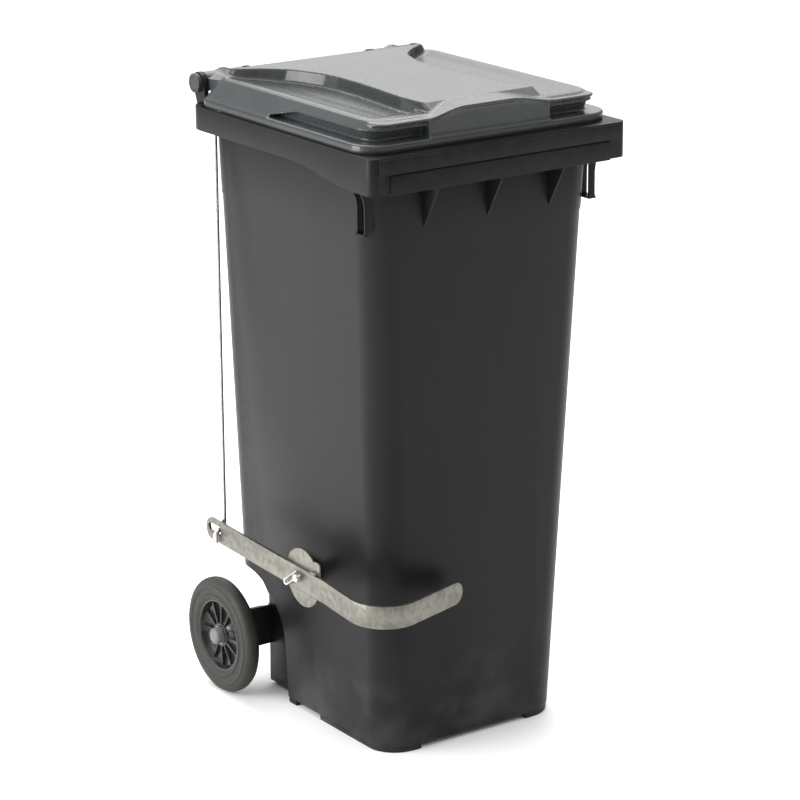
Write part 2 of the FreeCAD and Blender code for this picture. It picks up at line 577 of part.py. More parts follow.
def make_wheel_rim():
    """Moulded wheel: hub, dished web with spokes, and the ring that holds the tyre."""
    mid = TYRE_OUTER_X - TYRE_WIDTH / 2.0
    half = TYRE_WIDTH / 2.0 - RING_INSET
    ring_in = TYRE_INNER_R - RIM_RING_THICK
    ring = ring_x(mid - half, mid + half, AXLE_Y, WHEEL_Z, TYRE_INNER_R, ring_in)
    hub = rod_x(HUB_INNER_X, HUB_OUTER_X, AXLE_Y, WHEEL_Z, HUB_R)
    web = rod_x(mid - WEB_THICK, mid, AXLE_Y, WHEEL_Z, ring_in + 1.0)
    pieces = [ring, hub, web]
    for index in range(SPOKE_COUNT):
        spoke = plate_yz([(HUB_R - 3.0, -SPOKE_THICK / 2.0), (ring_in + 1.0, -SPOKE_THICK / 2.0),
                          (ring_in + 1.0, SPOKE_THICK / 2.0), (HUB_R - 3.0, SPOKE_THICK / 2.0)],
                         mid - 1.0, mid + SPOKE_PROUD)
        spoke.rotate(Vec(0, 0, 0), Vec(1, 0, 0), index * 360.0 / SPOKE_COUNT)
        spoke.translate(Vec(0, AXLE_Y, WHEEL_Z))
        pieces.append(spoke)
    wheel = fuse_all(pieces)
    return wheel.cut(rod_x(HUB_INNER_X - 5.0, HUB_OUTER_X + 5.0, AXLE_Y, WHEEL_Z, AXLE_R + RUNNING_GAP))


def make_hub_cap():
    """Round cap pushed over the end of the axle."""
    start = HUB_OUTER_X + HUB_GAP + CLIP_THICK + 0.3
    cap = rod_x(start, CAP_OUTER_X, AXLE_Y, WHEEL_Z, CAP_R)
    cap = cap.makeFillet(CAP_ROUND, [e for e in cap.Edges if e.CenterOfMass.x > CAP_OUTER_X - 0.5])
    return cap.cut(rod_x(start - 1.0, CAP_OUTER_X - CAP_WALL, AXLE_Y, WHEEL_Z, AXLE_R + RUNNING_GAP))


# ---- pedal bracket and pivot -----------------------------------------------------------------
def bolt_places():
    places = []
    for dy in (-0.5, 0.5):
        for dz in (-0.5, 0.5):
            places.append((FOOT_Y + dy * BOLT_SPACING[0], FOOT_Z + dz * BOLT_SPACING[1]))
    return places


def foot_plate(x0, x1):
    wide, high = BASE_PLATE[0] / 2.0, BASE_PLATE[1] / 2.0
    plate = block(x0, x1, FOOT_Y - wide, FOOT_Y + wide, FOOT_Z - high, FOOT_Z + high)
    upright = [e for e in plate.Edges if abs(e.tangentAt(e.FirstParameter).x) > 0.9]
    plate = plate.makeFillet(BASE_PLATE_R, upright)
    for y, z in bolt_places():
        plate = plate.cut(rod_x(x0 - 1.0, x1 + 1.0, y, z, BOLT_R + BOLT_CLEAR))
    return plate


def make_pedal_bracket():
    """Welded steel bracket: a foot on the side wall, a stem, and the round plate behind the lever."""
    foot_outer = -PAD_X - BASE_PLATE[2]
    base = foot_plate(foot_outer, -PAD_X)
    disc = rod_x(-DISC_OUTER_X, -DISC_INNER_X, PIVOT_Y, PIVOT_Z, DISC_R)
    collar = rod_x(-DISC_INNER_X - 1.0, -DISC_INNER_X + COLLAR_LENGTH, PIVOT_Y, PIVOT_Z, COLLAR_R)
    stem_y = PIVOT_Y + DISC_R - STEM_THICK * 2.0
    stem_high = BASE_PLATE[1] / 2.0 - BASE_PLATE_R
    stem = block(-DISC_INNER_X - 1.0, -PAD_X - 1.0, stem_y - STEM_THICK, stem_y,
                 FOOT_Z - stem_high, FOOT_Z + stem_high)

    # stop tab over the lever's upper edge, ahead of the pivot
    tab_low = LEVER_HIGH - LEVER_BELOW + STOP_GAP
    tab_top = tab_low + STOP_THICK
    tab = block(-LEVER_OUTER_X - STOP_THICK, -DISC_INNER_X, STOP_Y[0], STOP_Y[1], tab_low, tab_top)
    arm = block(-DISC_OUTER_X, -DISC_INNER_X, STOP_Y[0], STOP_Y[1] + STOP_ARM, STOP_ARM,
                tab_top + STOP_EAR)
    stop = tab.fuse(arm)
    stop.translate(Vec(0, PIVOT_Y, PIVOT_Z))
    bracket = fuse_all([base, disc, collar, stem, stop])
    return bracket.cut(rod_x(-DISC_OUTER_X - 5.0, -DISC_INNER_X + COLLAR_LENGTH + 1.0, PIVOT_Y, PIVOT_Z,
                             PIVOT_R + RUNNING_GAP))


def make_backing_plate():
    """Steel plate inside the container that spreads the load of the bolts."""
    return foot_plate(backing_x(), backing_x() + BASE_PLATE[2])


def backing_x():
    """Where the backing plate touches the leaning inside of the wall, at its lower edge."""
    return -half_width(FOOT_Z - BASE_PLATE[1] / 2.0) + WALL + 0.2


def nut_x():
    return backing_x() + BASE_PLATE[2]


def hexagon(x0, x1, y, z, across):
    radius = across / math.sqrt(3.0)
    corners = []
    for index in range(6):
        angle = math.radians(60.0 * index)
        corners.append((y + radius * math.cos(angle), z + radius * math.sin(angle)))
    return plate_yz(corners, x0, x1)


def make_bolts():
    """Four carriage bolts with low round heads."""
    bolts = []
    head = -PAD_X - BASE_PLATE[2]
    for y, z in bolt_places():
        bolt = rod_x(head - BOLT_HEAD[1], head, y, z, BOLT_HEAD[0])
        crown = [e for e in bolt.Edges if e.CenterOfMass.x < head - BOLT_HEAD[1] + 0.1]
        bolt = bolt.makeFillet(BOLT_HEAD[2], crown)
        shank = rod_x(head - 1.0, nut_x() + BOLT_END, y, z, BOLT_R)
        bolts.append(bolt.fuse(shank).removeSplitter())
    return Part.makeCompound(bolts)


def make_nuts():
    nuts = []
    for y, z in bolt_places():
        nut = hexagon(nut_x(), nut_x() + NUT[1], y, z, NUT[0])
        nuts.append(nut.cut(rod_x(nut_x() - 1.0, nut_x() + NUT[1] + 1.0, y, z, BOLT_R + RUNNING_GAP)))
    return Part.makeCompound(nuts)


def make_pivot_pin():
    """Clevis pin that the lever turns on, with a cross hole for its clip."""
    pin = rod_x(-PIN_END_X, -DISC_INNER_X + COLLAR_LENGTH, PIVOT_Y, PIVOT_Z, PIVOT_R)
    pin = pin.makeChamfer(PIN_CHAMFER, [e for e in pin.Edges if e.CenterOfMass.x < -PIN_END_X + 0.5])
    hole = Part.makeCylinder(CLIP_WIRE_R + RUNNING_GAP, 40.0, Vec(-CLIP_X, -20.0, 0), Vec(0, 1, 0))
    hole.rotate(Vec(-CLIP_X, 0, 0), Vec(1, 0, 0), -CLIP_LEAN)
    hole.translate(Vec(0, PIVOT_Y, PIVOT_Z))
    return pin.cut(hole)


def make_pivot_clip():
    """Spring clip of round wire: a straight leg through the pin, an eye, and a leg over the pin."""
    eye_r = (PIVOT_R + CLIP_WIRE_R + 0.7) / 2.0
    eye_y = CLIP_LENGTH
    through, over = CLIP_LEG
    lower = Part.makeCylinder(CLIP_WIRE_R, eye_y + through, Vec(-CLIP_X, -through, 0), Vec(0, 1, 0))
    upper = Part.makeCylinder(CLIP_WIRE_R, eye_y + over, Vec(-CLIP_X, -over, 2.0 * eye_r), Vec(0, 1, 0))
    eye = Part.makeTorus(eye_r, CLIP_WIRE_R, Vec(-CLIP_X, eye_y, eye_r), Vec(1, 0, 0))
    clip = fuse_all([lower, upper, eye])
    clip.rotate(Vec(-CLIP_X, 0, 0), Vec(1, 0, 0), -CLIP_LEAN)
    clip.translate(Vec(0, PIVOT_Y, PIVOT_Z))
    return clip


def make_pivot_washer():
    return ring_x(-DISC_OUTER_X - PIVOT_WASHER_THICK, -DISC_OUTER_X, PIVOT_Y, PIVOT_Z, PIVOT_WASHER_R,
                  PIVOT_R + RUNNING_GAP)


# ---- pedal lever -----------------------------------------------------------------------------
def bar_outline(points, radii, thick):
    """Plan outline of a flat bar that follows a polyline with round bends."""
    sides = [[], []]
    count = len(points)
    heads = []
    for index in range(count - 1):
        dx = points[index + 1][0] - points[index][0]
        dy = points[index + 1][1] - points[index][1]
        length = math.hypot(dx, dy)
        heads.append((dx / length, dy / length))
    for which, offset in enumerate((thick / 2.0, -thick / 2.0)):
        first = (points[0][0] - heads[0][1] * offset, points[0][1] + heads[0][0] * offset)
        cursor = first
        for index in range(1, count - 1):
            before, after = heads[index - 1], heads[index]
            cross = before[0] * after[1] - before[1] * after[0]
            turn = math.atan2(cross, before[0] * after[0] + before[1] * after[1])
            radius = radii[index - 1]
            reach = radius * math.tan(abs(turn) / 2.0)
            side = 1.0 if turn > 0 else -1.0
            start = (points[index][0] - before[0] * reach, points[index][1] - before[1] * reach)
            centre = (start[0] - before[1] * radius * side, start[1] + before[0] * radius * side)
            span = radius - offset * side
            arc = []
            for part in (0.0, 0.5, 1.0):
                angle = math.atan2(start[1] - centre[1], start[0] - centre[0]) + turn * part
                arc.append((centre[0] + span * math.cos(angle), centre[1] + span * math.sin(angle)))
            sides[which].append(("line", cursor, arc[0]))
            sides[which].append(("arc", arc[0], arc[1], arc[2]))
            cursor = arc[2]
        last = (points[-1][0] - heads[-1][1] * offset, points[-1][1] + heads[-1][0] * offset)
        sides[which].append(("line", cursor, last))
    edges = []
    for kind in (0, 1):
        for item in sides[kind]:
            corners = [Vec(p[0], p[1], 0) for p in item[1:]]
            if item[0] == "line":
                edges.append(Part.makeLine(corners[0], corners[1]))
            else:
                edges.append(Part.Arc(corners[0], corners[1], corners[2]).toShape())
    for end in (0, -1):
        a = sides[0][end][1] if end == 0 else sides[0][end][-1]
        b = sides[1][end][1] if end == 0 else sides[1][end][-1]
        edges.append(Part.makeLine(Vec(a[0], a[1], 0), Vec(b[0], b[1], 0)))
    return Part.Wire(Part.__sortEdges__(edges))


def lever_corner():
    """Where the side run and the foot bar would meet without the bend."""
    lean = math.tan(math.radians(LEVER_SPLAY))
    head = math.radians(LEVER_HEADING)
    gap = -LEVER_MID_X - lean * (LEVER_SPLAY_Y - LEVER_TIP[1]) - LEVER_TIP[0]
    reach = -gap / (math.cos(head) - lean * math.sin(head))
    return (LEVER_TIP[0] - reach * math.cos(head), LEVER_TIP[1] - reach * math.sin(head))


def short_edges(bar, wanted):
    """Edges across the bar's thickness whose middle passes a test."""
    found = []
    for edge in bar.Edges:
        across = abs(edge.tangentAt(edge.FirstParameter).z) < 0.1
        if across and edge.Length < LEVER_THICK + 0.5 and wanted(edge.CenterOfMass):
            found.append(edge)
    return found


def make_pedal_lever():
    rear_y = PIVOT_Y + SLOT_FAR + ROD_R + SLOT_END_PLAY + LEVER_END
    path = [(-LEVER_MID_X, rear_y), (-LEVER_MID_X, LEVER_SPLAY_Y), lever_corner(), LEVER_TIP]
    face = Part.Face(bar_outline(path, (LEVER_SPLAY_R, LEVER_BEND_R), LEVER_THICK))
    bar = face.extrude(Vec(0, 0, LEVER_HIGH))
    bar.translate(Vec(0, 0, PIVOT_Z - LEVER_BELOW))
    bar = bar.makeFillet(LEVER_TIP_R, short_edges(bar, lambda c: c.x > LEVER_TIP[0] - 5.0))
    bar = bar.makeFillet(LEVER_END_R, short_edges(bar, lambda c: c.y > rear_y - 1.0))

    # round lobe under the pivot, blended into the bar's lower edge
    lobe_y = PIVOT_Y - LOBE_FORWARD
    lobe = rod_x(-LEVER_OUTER_X, -LEVER_INNER_X, lobe_y, PIVOT_Z, LOBE_R)
    low_edge = PIVOT_Z - LEVER_BELOW
    lobe = lobe.common(block(-LEVER_OUTER_X, -LEVER_INNER_X, lobe_y - LOBE_R, lobe_y + LOBE_R,
                             low_edge - LOBE_R, low_edge + 1.0))
    bar = bar.fuse(lobe).removeSplitter()
    half_chord = math.sqrt(LOBE_R ** 2 - LEVER_BELOW ** 2)
    bar = bar.makeFillet(LOBE_BLEND_R, short_edges(bar, lambda c: abs(c.z - low_edge) < 0.5
                                                   and abs(abs(c.y - lobe_y) - half_chord) < 1.0))
    bar = bar.cut(rod_x(-LEVER_OUTER_X - 5.0, -LEVER_INNER_X + 5.0, PIVOT_Y, PIVOT_Z, PIVOT_R + RUNNING_GAP))
    half = ROD_R + SLOT_PLAY
    near = PIVOT_Y + SLOT_NEAR - SLOT_END_PLAY
    far = PIVOT_Y + SLOT_FAR + SLOT_END_PLAY
    slot = block(-LEVER_OUTER_X - 5.0, -LEVER_INNER_X + 5.0, near, far, PIVOT_Z - half, PIVOT_Z + half)
    for y in (near, far):
        slot = slot.fuse(rod_x(-LEVER_OUTER_X - 5.0, -LEVER_INNER_X + 5.0, y, PIVOT_Z, half))
    bar = bar.cut(slot)
    bar.rotate(Vec(0, PIVOT_Y, PIVOT_Z), Vec(1, 0, 0), LEVER_TILT)
    return bar


# ---- rod and lid bracket ---------------------------------------------------------------------
def make_tie_rod():
    """Round steel rod: hooked into the lever at the foot and into the lid bracket at the top."""
    low, high = ROD_BOTTOM_Z, ROD_TOP_Z
    shank = Part.makeCylinder(ROD_R, high - low, Vec(ROD_X, ROD_Y, low))
    pieces = [shank, rod_x(TAIL_X, ROD_X, ROD_Y, low, ROD_R), rod_x(ROD_X, HOOK_END_X, ROD_Y, high, ROD_R)]
    pieces.append(Part.makeCylinder(ROD_R, TAIL_LENGTH, Vec(TAIL_X, ROD_Y, low - TAIL_LENGTH)))
    for x, z in ((ROD_X, low), (TAIL_X, low), (ROD_X, high)):
        pieces.append(Part.makeSphere(ROD_R, Vec(x, ROD_Y, z)))
    return fuse_all(pieces)


def strap_rear():
    return HINGE_Y - ARM * math.cos(HALF_SWING) + ROD_R + SLOT_PLAY + STRAP_EDGE


def strap_screw_places():
    z = LID_BAND_TOP - 1.0
    rear = strap_rear()
    return [(rear - inset, z) for inset in SCREW_INSET]


def slot_ends():
    """Both ends of the radial slot, measured from the hinge axis."""
    ends = []
    for radius in (ARM / math.cos(HALF_SWING), ARM):
        y = HINGE_Y - radius * math.cos(HALF_SWING)
        z = HINGE_Z - radius * math.sin(HALF_SWING)
        ends.append((y, z))
    return ends


def capsule(x0, x1, ends, radius):
    """Rounded bar between two places in the YZ plane."""
    (ya, za), (yb, zb) = ends
    length = math.hypot(yb - ya, zb - za)
    ny, nz = -(zb - za) / length * radius, (yb - ya) / length * radius
    strip = plate_yz([(ya + ny, za + nz), (yb + ny, zb + nz), (yb - ny, zb - nz), (ya - ny, za - nz)], x0, x1)
    return fuse_all([strip, rod_x(x0, x1, ya, za, radius), rod_x(x0, x1, yb, zb, radius)])


def make_push_bracket():
    """Steel plate on the lid with a slot that points at the hinge; the rod pushes in it."""
    x0, x1 = -STRAP_OUTER_X, -STRAP_INNER_X
    half = ROD_R + SLOT_PLAY
    rear = strap_rear()
    slot = slot_ends()
    low_y, low_z = slot[0]
    plate = plate_yz([(low_y - 8.0, low_z), (rear, low_z + 8.0), (rear, LID_BAND_TOP + 4.0),
                      (rear - STRAP_LENGTH, LID_BAND_TOP + 4.0), (low_y - 8.0, LID_BAND_TOP - 16.0)], x0, x1)
    bracket = plate.fuse(capsule(x0, x1, slot, half + STRAP_EDGE)).removeSplitter()
    bracket = bracket.cut(capsule(x0 - 1.0, x1 + 1.0, slot, half))
    for y, z in strap_screw_places():
        bracket = bracket.cut(rod_x(x0 - 1.0, x1 + 1.0, y, z, SCREW_R + RUNNING_GAP))
    return bracket


def make_strap_screws():
    screws = []
    for y, z in strap_screw_places():
        head = rod_x(-STRAP_OUTER_X - SCREW_HEAD_THICK, -STRAP_OUTER_X, y, z, SCREW_HEAD_R)
        end = -STRAP_INNER_X + RIB_THICK + LID_NUT[1] + 1.0
        shank = rod_x(-STRAP_OUTER_X - 1.0, end, y, z, SCREW_R)
        screws.append(head.fuse(shank).removeSplitter())
    return Part.makeCompound(screws)


def make_strap_nuts():
    nuts = []
    start = -STRAP_INNER_X + RIB_THICK
    for y, z in strap_screw_places():
        nut = hexagon(start, start + LID_NUT[1], y, z, LID_NUT[0])
        nuts.append(nut.cut(rod_x(start - 1.0, start + LID_NUT[1] + 1.0, y, z, SCREW_R + RUNNING_GAP)))
    return Part.makeCompound(nuts)


# ---- every piece, by node name ---------------------------------------------------------------
def make_all():
    nodes = {"container_body": make_container_body(), "container_rim": make_container_rim()}
    nodes["container_ears"] = make_container_ears()
    nodes["lid"] = make_lid()
    axle_end = CAP_OUTER_X - CAP_WALL - AXLE_END_GAP
    nodes["axle"] = rod_x(-axle_end, axle_end, AXLE_Y, WHEEL_Z, AXLE_R)
    clip_x = HUB_OUTER_X + HUB_GAP
    paired = {
        "hinge_pin": make_hinge_pin(),
        "tyre": make_tyre(),
        "wheel_rim": make_wheel_rim(),
        "hub_cap": make_hub_cap(),
        "axle_washer": ring_x(AXLE_BOSS_X, AXLE_BOSS_X + WASHER_THICK, AXLE_Y, WHEEL_Z, HUB_R - 2.0,
                              AXLE_R + RUNNING_GAP),
        "wheel_clip": ring_x(clip_x, clip_x + CLIP_THICK, AXLE_Y, WHEEL_Z, CLIP_R, AXLE_R + RUNNING_GAP),
    }
    for name, right in paired.items():
        nodes[name + "_right"] = right
        nodes[name + "_left"] = mirror_x(right)
    nodes["pedal_bracket"] = make_pedal_bracket()
    nodes["bracket_backing_plate"] = make_backing_plate()
    nodes["bracket_bolts"] = make_bolts()
    nodes["bracket_nuts"] = make_nuts()
    nodes["pivot_pin"] = make_pivot_pin()
    nodes["pivot_washer"] = make_pivot_washer()
    nodes["pivot_clip"] = make_pivot_clip()
    nodes["pedal_lever"] = make_pedal_lever()
    nodes["tie_rod"] = make_tie_rod()
    nodes["lid_push_bracket"] = make_push_bracket()
    nodes["lid_bracket_screws"] = make_strap_screws()
    nodes["lid_bracket_nuts"] = make_strap_nuts()
    return nodes


os.makedirs("parts", exist_ok=True)
all_nodes = make_all()
front = min(shape.BoundBox.YMin for shape in all_nodes.values())
rear = max(shape.BoundBox.YMax for shape in all_nodes.values())
centre = (front + rear) / 2.0
for name, shape in all_nodes.items():
    shape.translate(Vec(0, -centre, 0))
    shape.exportStep("parts/" + name + ".step")
    solids = len(shape.Solids)
    print(name, "solids", solids, "valid", shape.isValid(), "volume", round(shape.Volume / 1000.0, 1), "cm3")
print("centre moved by", round(-centre, 3), "rod travel", round(ROD_TRAVEL, 3),
      "lever swing", round(math.degrees(LEVER_SWING), 3))
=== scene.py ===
import math

import bmesh
import bpy
from mathutils import Matrix, Vector


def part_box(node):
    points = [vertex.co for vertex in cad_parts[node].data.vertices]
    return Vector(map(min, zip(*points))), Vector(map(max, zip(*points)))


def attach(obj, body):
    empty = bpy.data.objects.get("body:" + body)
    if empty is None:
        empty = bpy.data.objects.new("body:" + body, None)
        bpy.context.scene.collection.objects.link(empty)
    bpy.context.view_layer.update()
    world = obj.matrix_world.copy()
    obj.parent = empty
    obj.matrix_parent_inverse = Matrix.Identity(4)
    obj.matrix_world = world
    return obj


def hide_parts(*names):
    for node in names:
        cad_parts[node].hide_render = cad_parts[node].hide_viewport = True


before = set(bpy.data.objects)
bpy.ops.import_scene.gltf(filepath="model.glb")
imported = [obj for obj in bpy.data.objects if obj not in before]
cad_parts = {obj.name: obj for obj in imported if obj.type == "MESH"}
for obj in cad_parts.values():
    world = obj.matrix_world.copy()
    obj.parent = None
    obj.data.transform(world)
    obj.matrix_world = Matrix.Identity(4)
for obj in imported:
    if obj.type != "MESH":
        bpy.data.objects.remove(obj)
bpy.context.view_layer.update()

# ---- studio ----------------------------------------------------------------------------------
# A white floor, a surround bright overhead and dim toward the horizon, and three soft lights: one
# overhead, one at the pedal side, one high behind.  The camera is at the front left, above the lid.
bpy.ops.object.select_all(action="DESELECT")
bpy.ops.mesh.primitive_plane_add(size=24.0, location=(0.0, 0.0, 0.0))
floor = bpy.context.object
floor.name = "studio_floor"
bpy.ops.object.mode_set(mode="EDIT")
bpy.ops.mesh.subdivide(number_cuts=3)
bpy.ops.object.mode_set(mode="OBJECT")
floor_paint = bpy.data.materials.new("floor_paint")
floor_paint.use_nodes = True
floor_shader = floor_paint.node_tree.nodes["Principled BSDF"]
floor_shader.inputs["Base Color"].default_value = (0.93, 0.93, 0.93, 1.0)
floor_shader.inputs["Roughness"].default_value = 0.9
floor_shader.inputs["Specular IOR Level"].default_value = 0.1
floor.data.materials.append(floor_paint)

surround = bpy.data.worlds.new("surround")
surround.use_nodes = True
sky = surround.node_tree
sky.nodes["Background"].inputs["Color"].default_value = (1.0, 1.0, 1.0, 1.0)
heading = sky.nodes.new("ShaderNodeTexCoord")
split = sky.nodes.new("ShaderNodeSeparateXYZ")
rise = sky.nodes.new("ShaderNodeMapRange")
rise.inputs["From Min"].default_value = 0.0
rise.inputs["From Max"].default_value = 0.9
rise.inputs["To Min"].default_value = 0.12
rise.inputs["To Max"].default_value = 1.62
sky.links.new(heading.outputs["Generated"], split.inputs["Vector"])
sky.links.new(split.outputs["Z"], rise.inputs["Value"])
sky.links.new(rise.outputs["Result"], sky.nodes["Background"].inputs["Strength"])
bpy.context.scene.world = surround
bpy.context.scene.view_settings.view_transform = "Standard"

for name, place, target, wide, watts in (
    ("overhead_light", (0.5, 1.3, 3.4), (0.0, 0.1, 1.0), 2.6, 80.0),
    ("pedal_side_light", (-3.4, 0.9, 1.3), (0.0, 0.0, 0.6), 2.4, 150.0),
    ("rear_light", (3.0, 3.6, 2.9), (0.0, 0.0, 1.0), 3.0, 34.0),
):
    lamp = bpy.data.lights.new(name, "AREA")
    lamp.size = wide
    lamp.energy = watts
    light = bpy.data.objects.new(name, lamp)
    aim = Vector(target) - Vector(place)
    light.matrix_world = Matrix.Translation(place) @ aim.to_track_quat("-Z", "Y").to_matrix().to_4x4()
    bpy.context.scene.collection.objects.link(light)

CAMERA_ACROSS, CAMERA_AHEAD, CAMERA_UP = -2.72128, 3.65408, 1.97384
CAMERA_HEADING = 34.70
CAMERA_DOWN = 16.99
CAMERA_ROLL = -0.40
CAMERA_LENS = 138.8
lens = bpy.data.cameras.new("camera")
lens.lens = CAMERA_LENS
lens.sensor_width = 36.0
camera = bpy.data.objects.new("camera", lens)
turn = Matrix.Rotation(-math.radians(CAMERA_HEADING), 4, "Z")
tip = Matrix.Rotation(math.radians(90.0 - CAMERA_DOWN), 4, "X")
roll = Matrix.Rotation(math.radians(CAMERA_ROLL), 4, "Z")
front_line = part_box("container_rim")[0].y + 0.003
camera_place = (CAMERA_ACROSS, front_line - CAMERA_AHEAD, CAMERA_UP)
camera.matrix_world = Matrix.Translation(camera_place) @ turn @ tip @ roll
bpy.context.scene.collection.objects.link(camera)
bpy.context.scene.camera = camera

# ---- container: tub --------------------------------------------------------------------------
# The tub is one injection moulding in dark grey polyethylene: it tapers to the floor, has round
# corners and a shallow step under the rim, and is recessed at the back for the wheels and axle.
MM = 0.001
COMB_PROUD = 3.0
WALL = 3.5
TOP_HALF, BASE_HALF = 213.0, 172.0
TOP_FRONT, BASE_FRONT = 34.0, 71.0
REAR = 505.0
RIM_TOP = 990.0
CORNER_R = 46.0
CORNER_BACK = 5.0
CREASE_TOP, CREASE_FOOT = 104.0, 115.0
STEP_Z = 846.0
AXLE_Y, AXLE_Z = 470.0, 98.0
WELL_R, WELL_X = 112.0, 150.0
LOW_REAR, LOW_REAR_TOP = 448.0, 215.0
rim_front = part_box("container_rim")[0].y + COMB_PROUD * MM


def at(x, y, z):
    """A place given in millimetres: from the middle, back from the rim's front, up from the floor."""
    return Vector((x * MM, rim_front + y * MM, z * MM))


def in_mm(point):
    return Vector((point.x / MM, (point.y - rim_front) / MM, point.z / MM))


def take_up(piece):
    """Makes this the one piece that is worked on."""
    if bpy.context.mode != "OBJECT":
        bpy.ops.object.mode_set(mode="OBJECT")
    bpy.ops.object.select_all(action="DESELECT")
    bpy.context.view_layer.objects.active = piece
    piece.select_set(True)
    return piece


def set_down():
    bpy.ops.object.mode_set(mode="OBJECT")


def block(name, low, high):
    """Cube between two corners, its place in its mesh."""
    if bpy.context.mode != "OBJECT":
        bpy.ops.object.mode_set(mode="OBJECT")
    bpy.ops.object.select_all(action="DESELECT")
    a, b = at(*low), at(*high)
    bpy.ops.mesh.primitive_cube_add(size=1.0, location=(a + b) / 2.0, scale=b - a)
    piece = bpy.context.object
    piece.name = name
    bpy.ops.object.transform_apply(location=True, rotation=True, scale=True)
    return piece


def bar(name, start, end, radius, sides=64):
    """Round bar between two places, its place in its mesh."""
    if bpy.context.mode != "OBJECT":
        bpy.ops.object.mode_set(mode="OBJECT")
    bpy.ops.object.select_all(action="DESELECT")
    a, b = at(*start), at(*end)
    run = b - a
    heading = run.to_track_quat("Z", "Y").to_euler()
    bpy.ops.mesh.primitive_cylinder_add(vertices=sides, radius=radius * MM, depth=run.length,
                                        location=(a + b) / 2.0, rotation=heading)
    piece = bpy.context.object
    piece.name = name
    bpy.ops.object.transform_apply(location=True, rotation=True, scale=True)
    return piece


def choose(piece, kind, wanted):
    """In edit mode, selects the corners, edges or faces of a piece by their place, in millimetres."""
    take_up(piece)
    bpy.ops.object.mode_set(mode="EDIT")
    bpy.ops.mesh.select_mode(type=kind)
    bpy.ops.mesh.select_all(action="DESELECT")
    mesh = bmesh.from_edit_mesh(piece.data)
    mesh.normal_update()
    if kind == "VERT":
        for corner in mesh.verts:
            corner.select_set(wanted(in_mm(corner.co)))
    elif kind == "EDGE":
        for edge in mesh.edges:
            edge.select_set(wanted(in_mm(edge.verts[0].co), in_mm(edge.verts[1].co)))
    else:
        for face in mesh.faces:
            face.select_set(wanted(in_mm(face.calc_center_median()), face.normal))
    mesh.select_flush_mode()
    bmesh.update_edit_mesh(piece.data)


def shift(x, y, z):
    bpy.ops.transform.translate(value=(x * MM, y * MM, z * MM))


def slice_at(piece, place, normal):
    """Cuts new edges all round a piece along a plane."""
    choose(piece, "FACE", lambda c, n: True)
    bpy.ops.mesh.bisect(plane_co=at(*place), plane_no=normal)
    set_down()


def round_edges(piece, wanted, radius, steps):
    choose(piece, "EDGE", wanted)
    bpy.ops.mesh.bevel(offset=radius * MM, offset_type="OFFSET", segments=steps, affect="EDGES")
    set_down()


def apply_all(piece):
    take_up(piece)
    for modifier in list(piece.modifiers):
        bpy.ops.object.modifier_apply(modifier=modifier.name)


def combine(piece, tool, how):
    """Adds another piece to this one, or takes it out of this one."""
    joint = piece.modifiers.new("combine", "BOOLEAN")
    joint.operation = how
    joint.solver = "EXACT"
    joint.object = tool
    apply_all(piece)
    bpy.data.objects.remove(tool, do_unlink=True)


def soften(piece, radius, steps=2, angle=32.0):
    """Rounds every sharp edge of a piece a little, and smooths its faces."""
    bevel = piece.modifiers.new("soft_edges", "BEVEL")
    bevel.width = radius * MM
    bevel.segments = steps
    bevel.limit_method = "ANGLE"
    bevel.angle_limit = math.radians(angle)
    bevel.miter_outer = "MITER_ARC"
    bevel.harden_normals = False
    apply_all(piece)
    bpy.ops.object.shade_smooth_by_angle(angle=math.radians(34.0))


def tub_solid(name, inset, low, top):
    """The tapered tub as a solid, inset from its outside, between two heights."""
    piece = block(name, (-BASE_HALF + inset, BASE_FRONT + inset, low),
                  (BASE_HALF - inset, REAR - inset, top))
    taper_x = (TOP_HALF - BASE_HALF) / RIM_TOP
    taper_y = (TOP_FRONT - BASE_FRONT) / RIM_TOP
    for level in (low, top):
        for side in (-1.0, 1.0):
            choose(piece, "VERT", lambda v: abs(v.z - level) < 1.0 and v.x * side > 0.0)
            shift(side * taper_x * level, 0.0, 0.0)
        choose(piece, "VERT", lambda v: abs(v.z - level) < 1.0 and v.y < 200.0)
        shift(0.0, taper_y * level, 0.0)
    set_down()
    lean = (CREASE_TOP - CREASE_FOOT) / 800.0
    for side in (-1.0, 1.0):
        choose(piece, "FACE", lambda c, n: n.y < -0.9)
        bpy.ops.mesh.bisect(plane_co=at(side * CREASE_FOOT, 0.0, 40.0), plane_no=(1.0, 0.0, -side * lean))
        set_down()
    choose(piece, "VERT", lambda v: v.y < 120.0 and abs(v.x) > 140.0)
    shift(0.0, CORNER_BACK, 0.0)
    set_down()
    tall = (top - low) * 0.6
    round_edges(piece, lambda a, b: abs(a.z - b.z) > tall and min(abs(a.x), abs(b.x)) > 140.0,
                CORNER_R - inset, 10)
    return piece


def rear_room(grow):
    """What the wheels and the axle take out of the tub."""
    radius = WELL_R + grow
    rooms = []
    for side in (-1.0, 1.0):
        inner, outer = side * (WELL_X - grow), side * 310.0
        rooms.append(bar("room", (inner, AXLE_Y, AXLE_Z), (outer, AXLE_Y, AXLE_Z), radius, 96))
        rooms.append(block("room", (min(inner, outer), AXLE_Y - radius, -30.0),
                           (max(inner, outer), 620.0, AXLE_Z)))
    low = LOW_REAR - grow
    top = LOW_REAR_TOP + grow
    rise = REAR - LOW_REAR
    step = block("room", (-260.0, low, -30.0), (260.0, 620.0, top - rise))
    choose(step, "FACE", lambda c, n: n.z > 0.9)
    bpy.ops.mesh.extrude_region_move(TRANSFORM_OT_translate={"value": (0.0, 0.0, rise * MM)})
    choose(step, "VERT", lambda v: v.z > top - 1.0 and v.y < 600.0)
    shift(0.0, rise, 0.0)
    set_down()
    rooms.append(step)
    return rooms


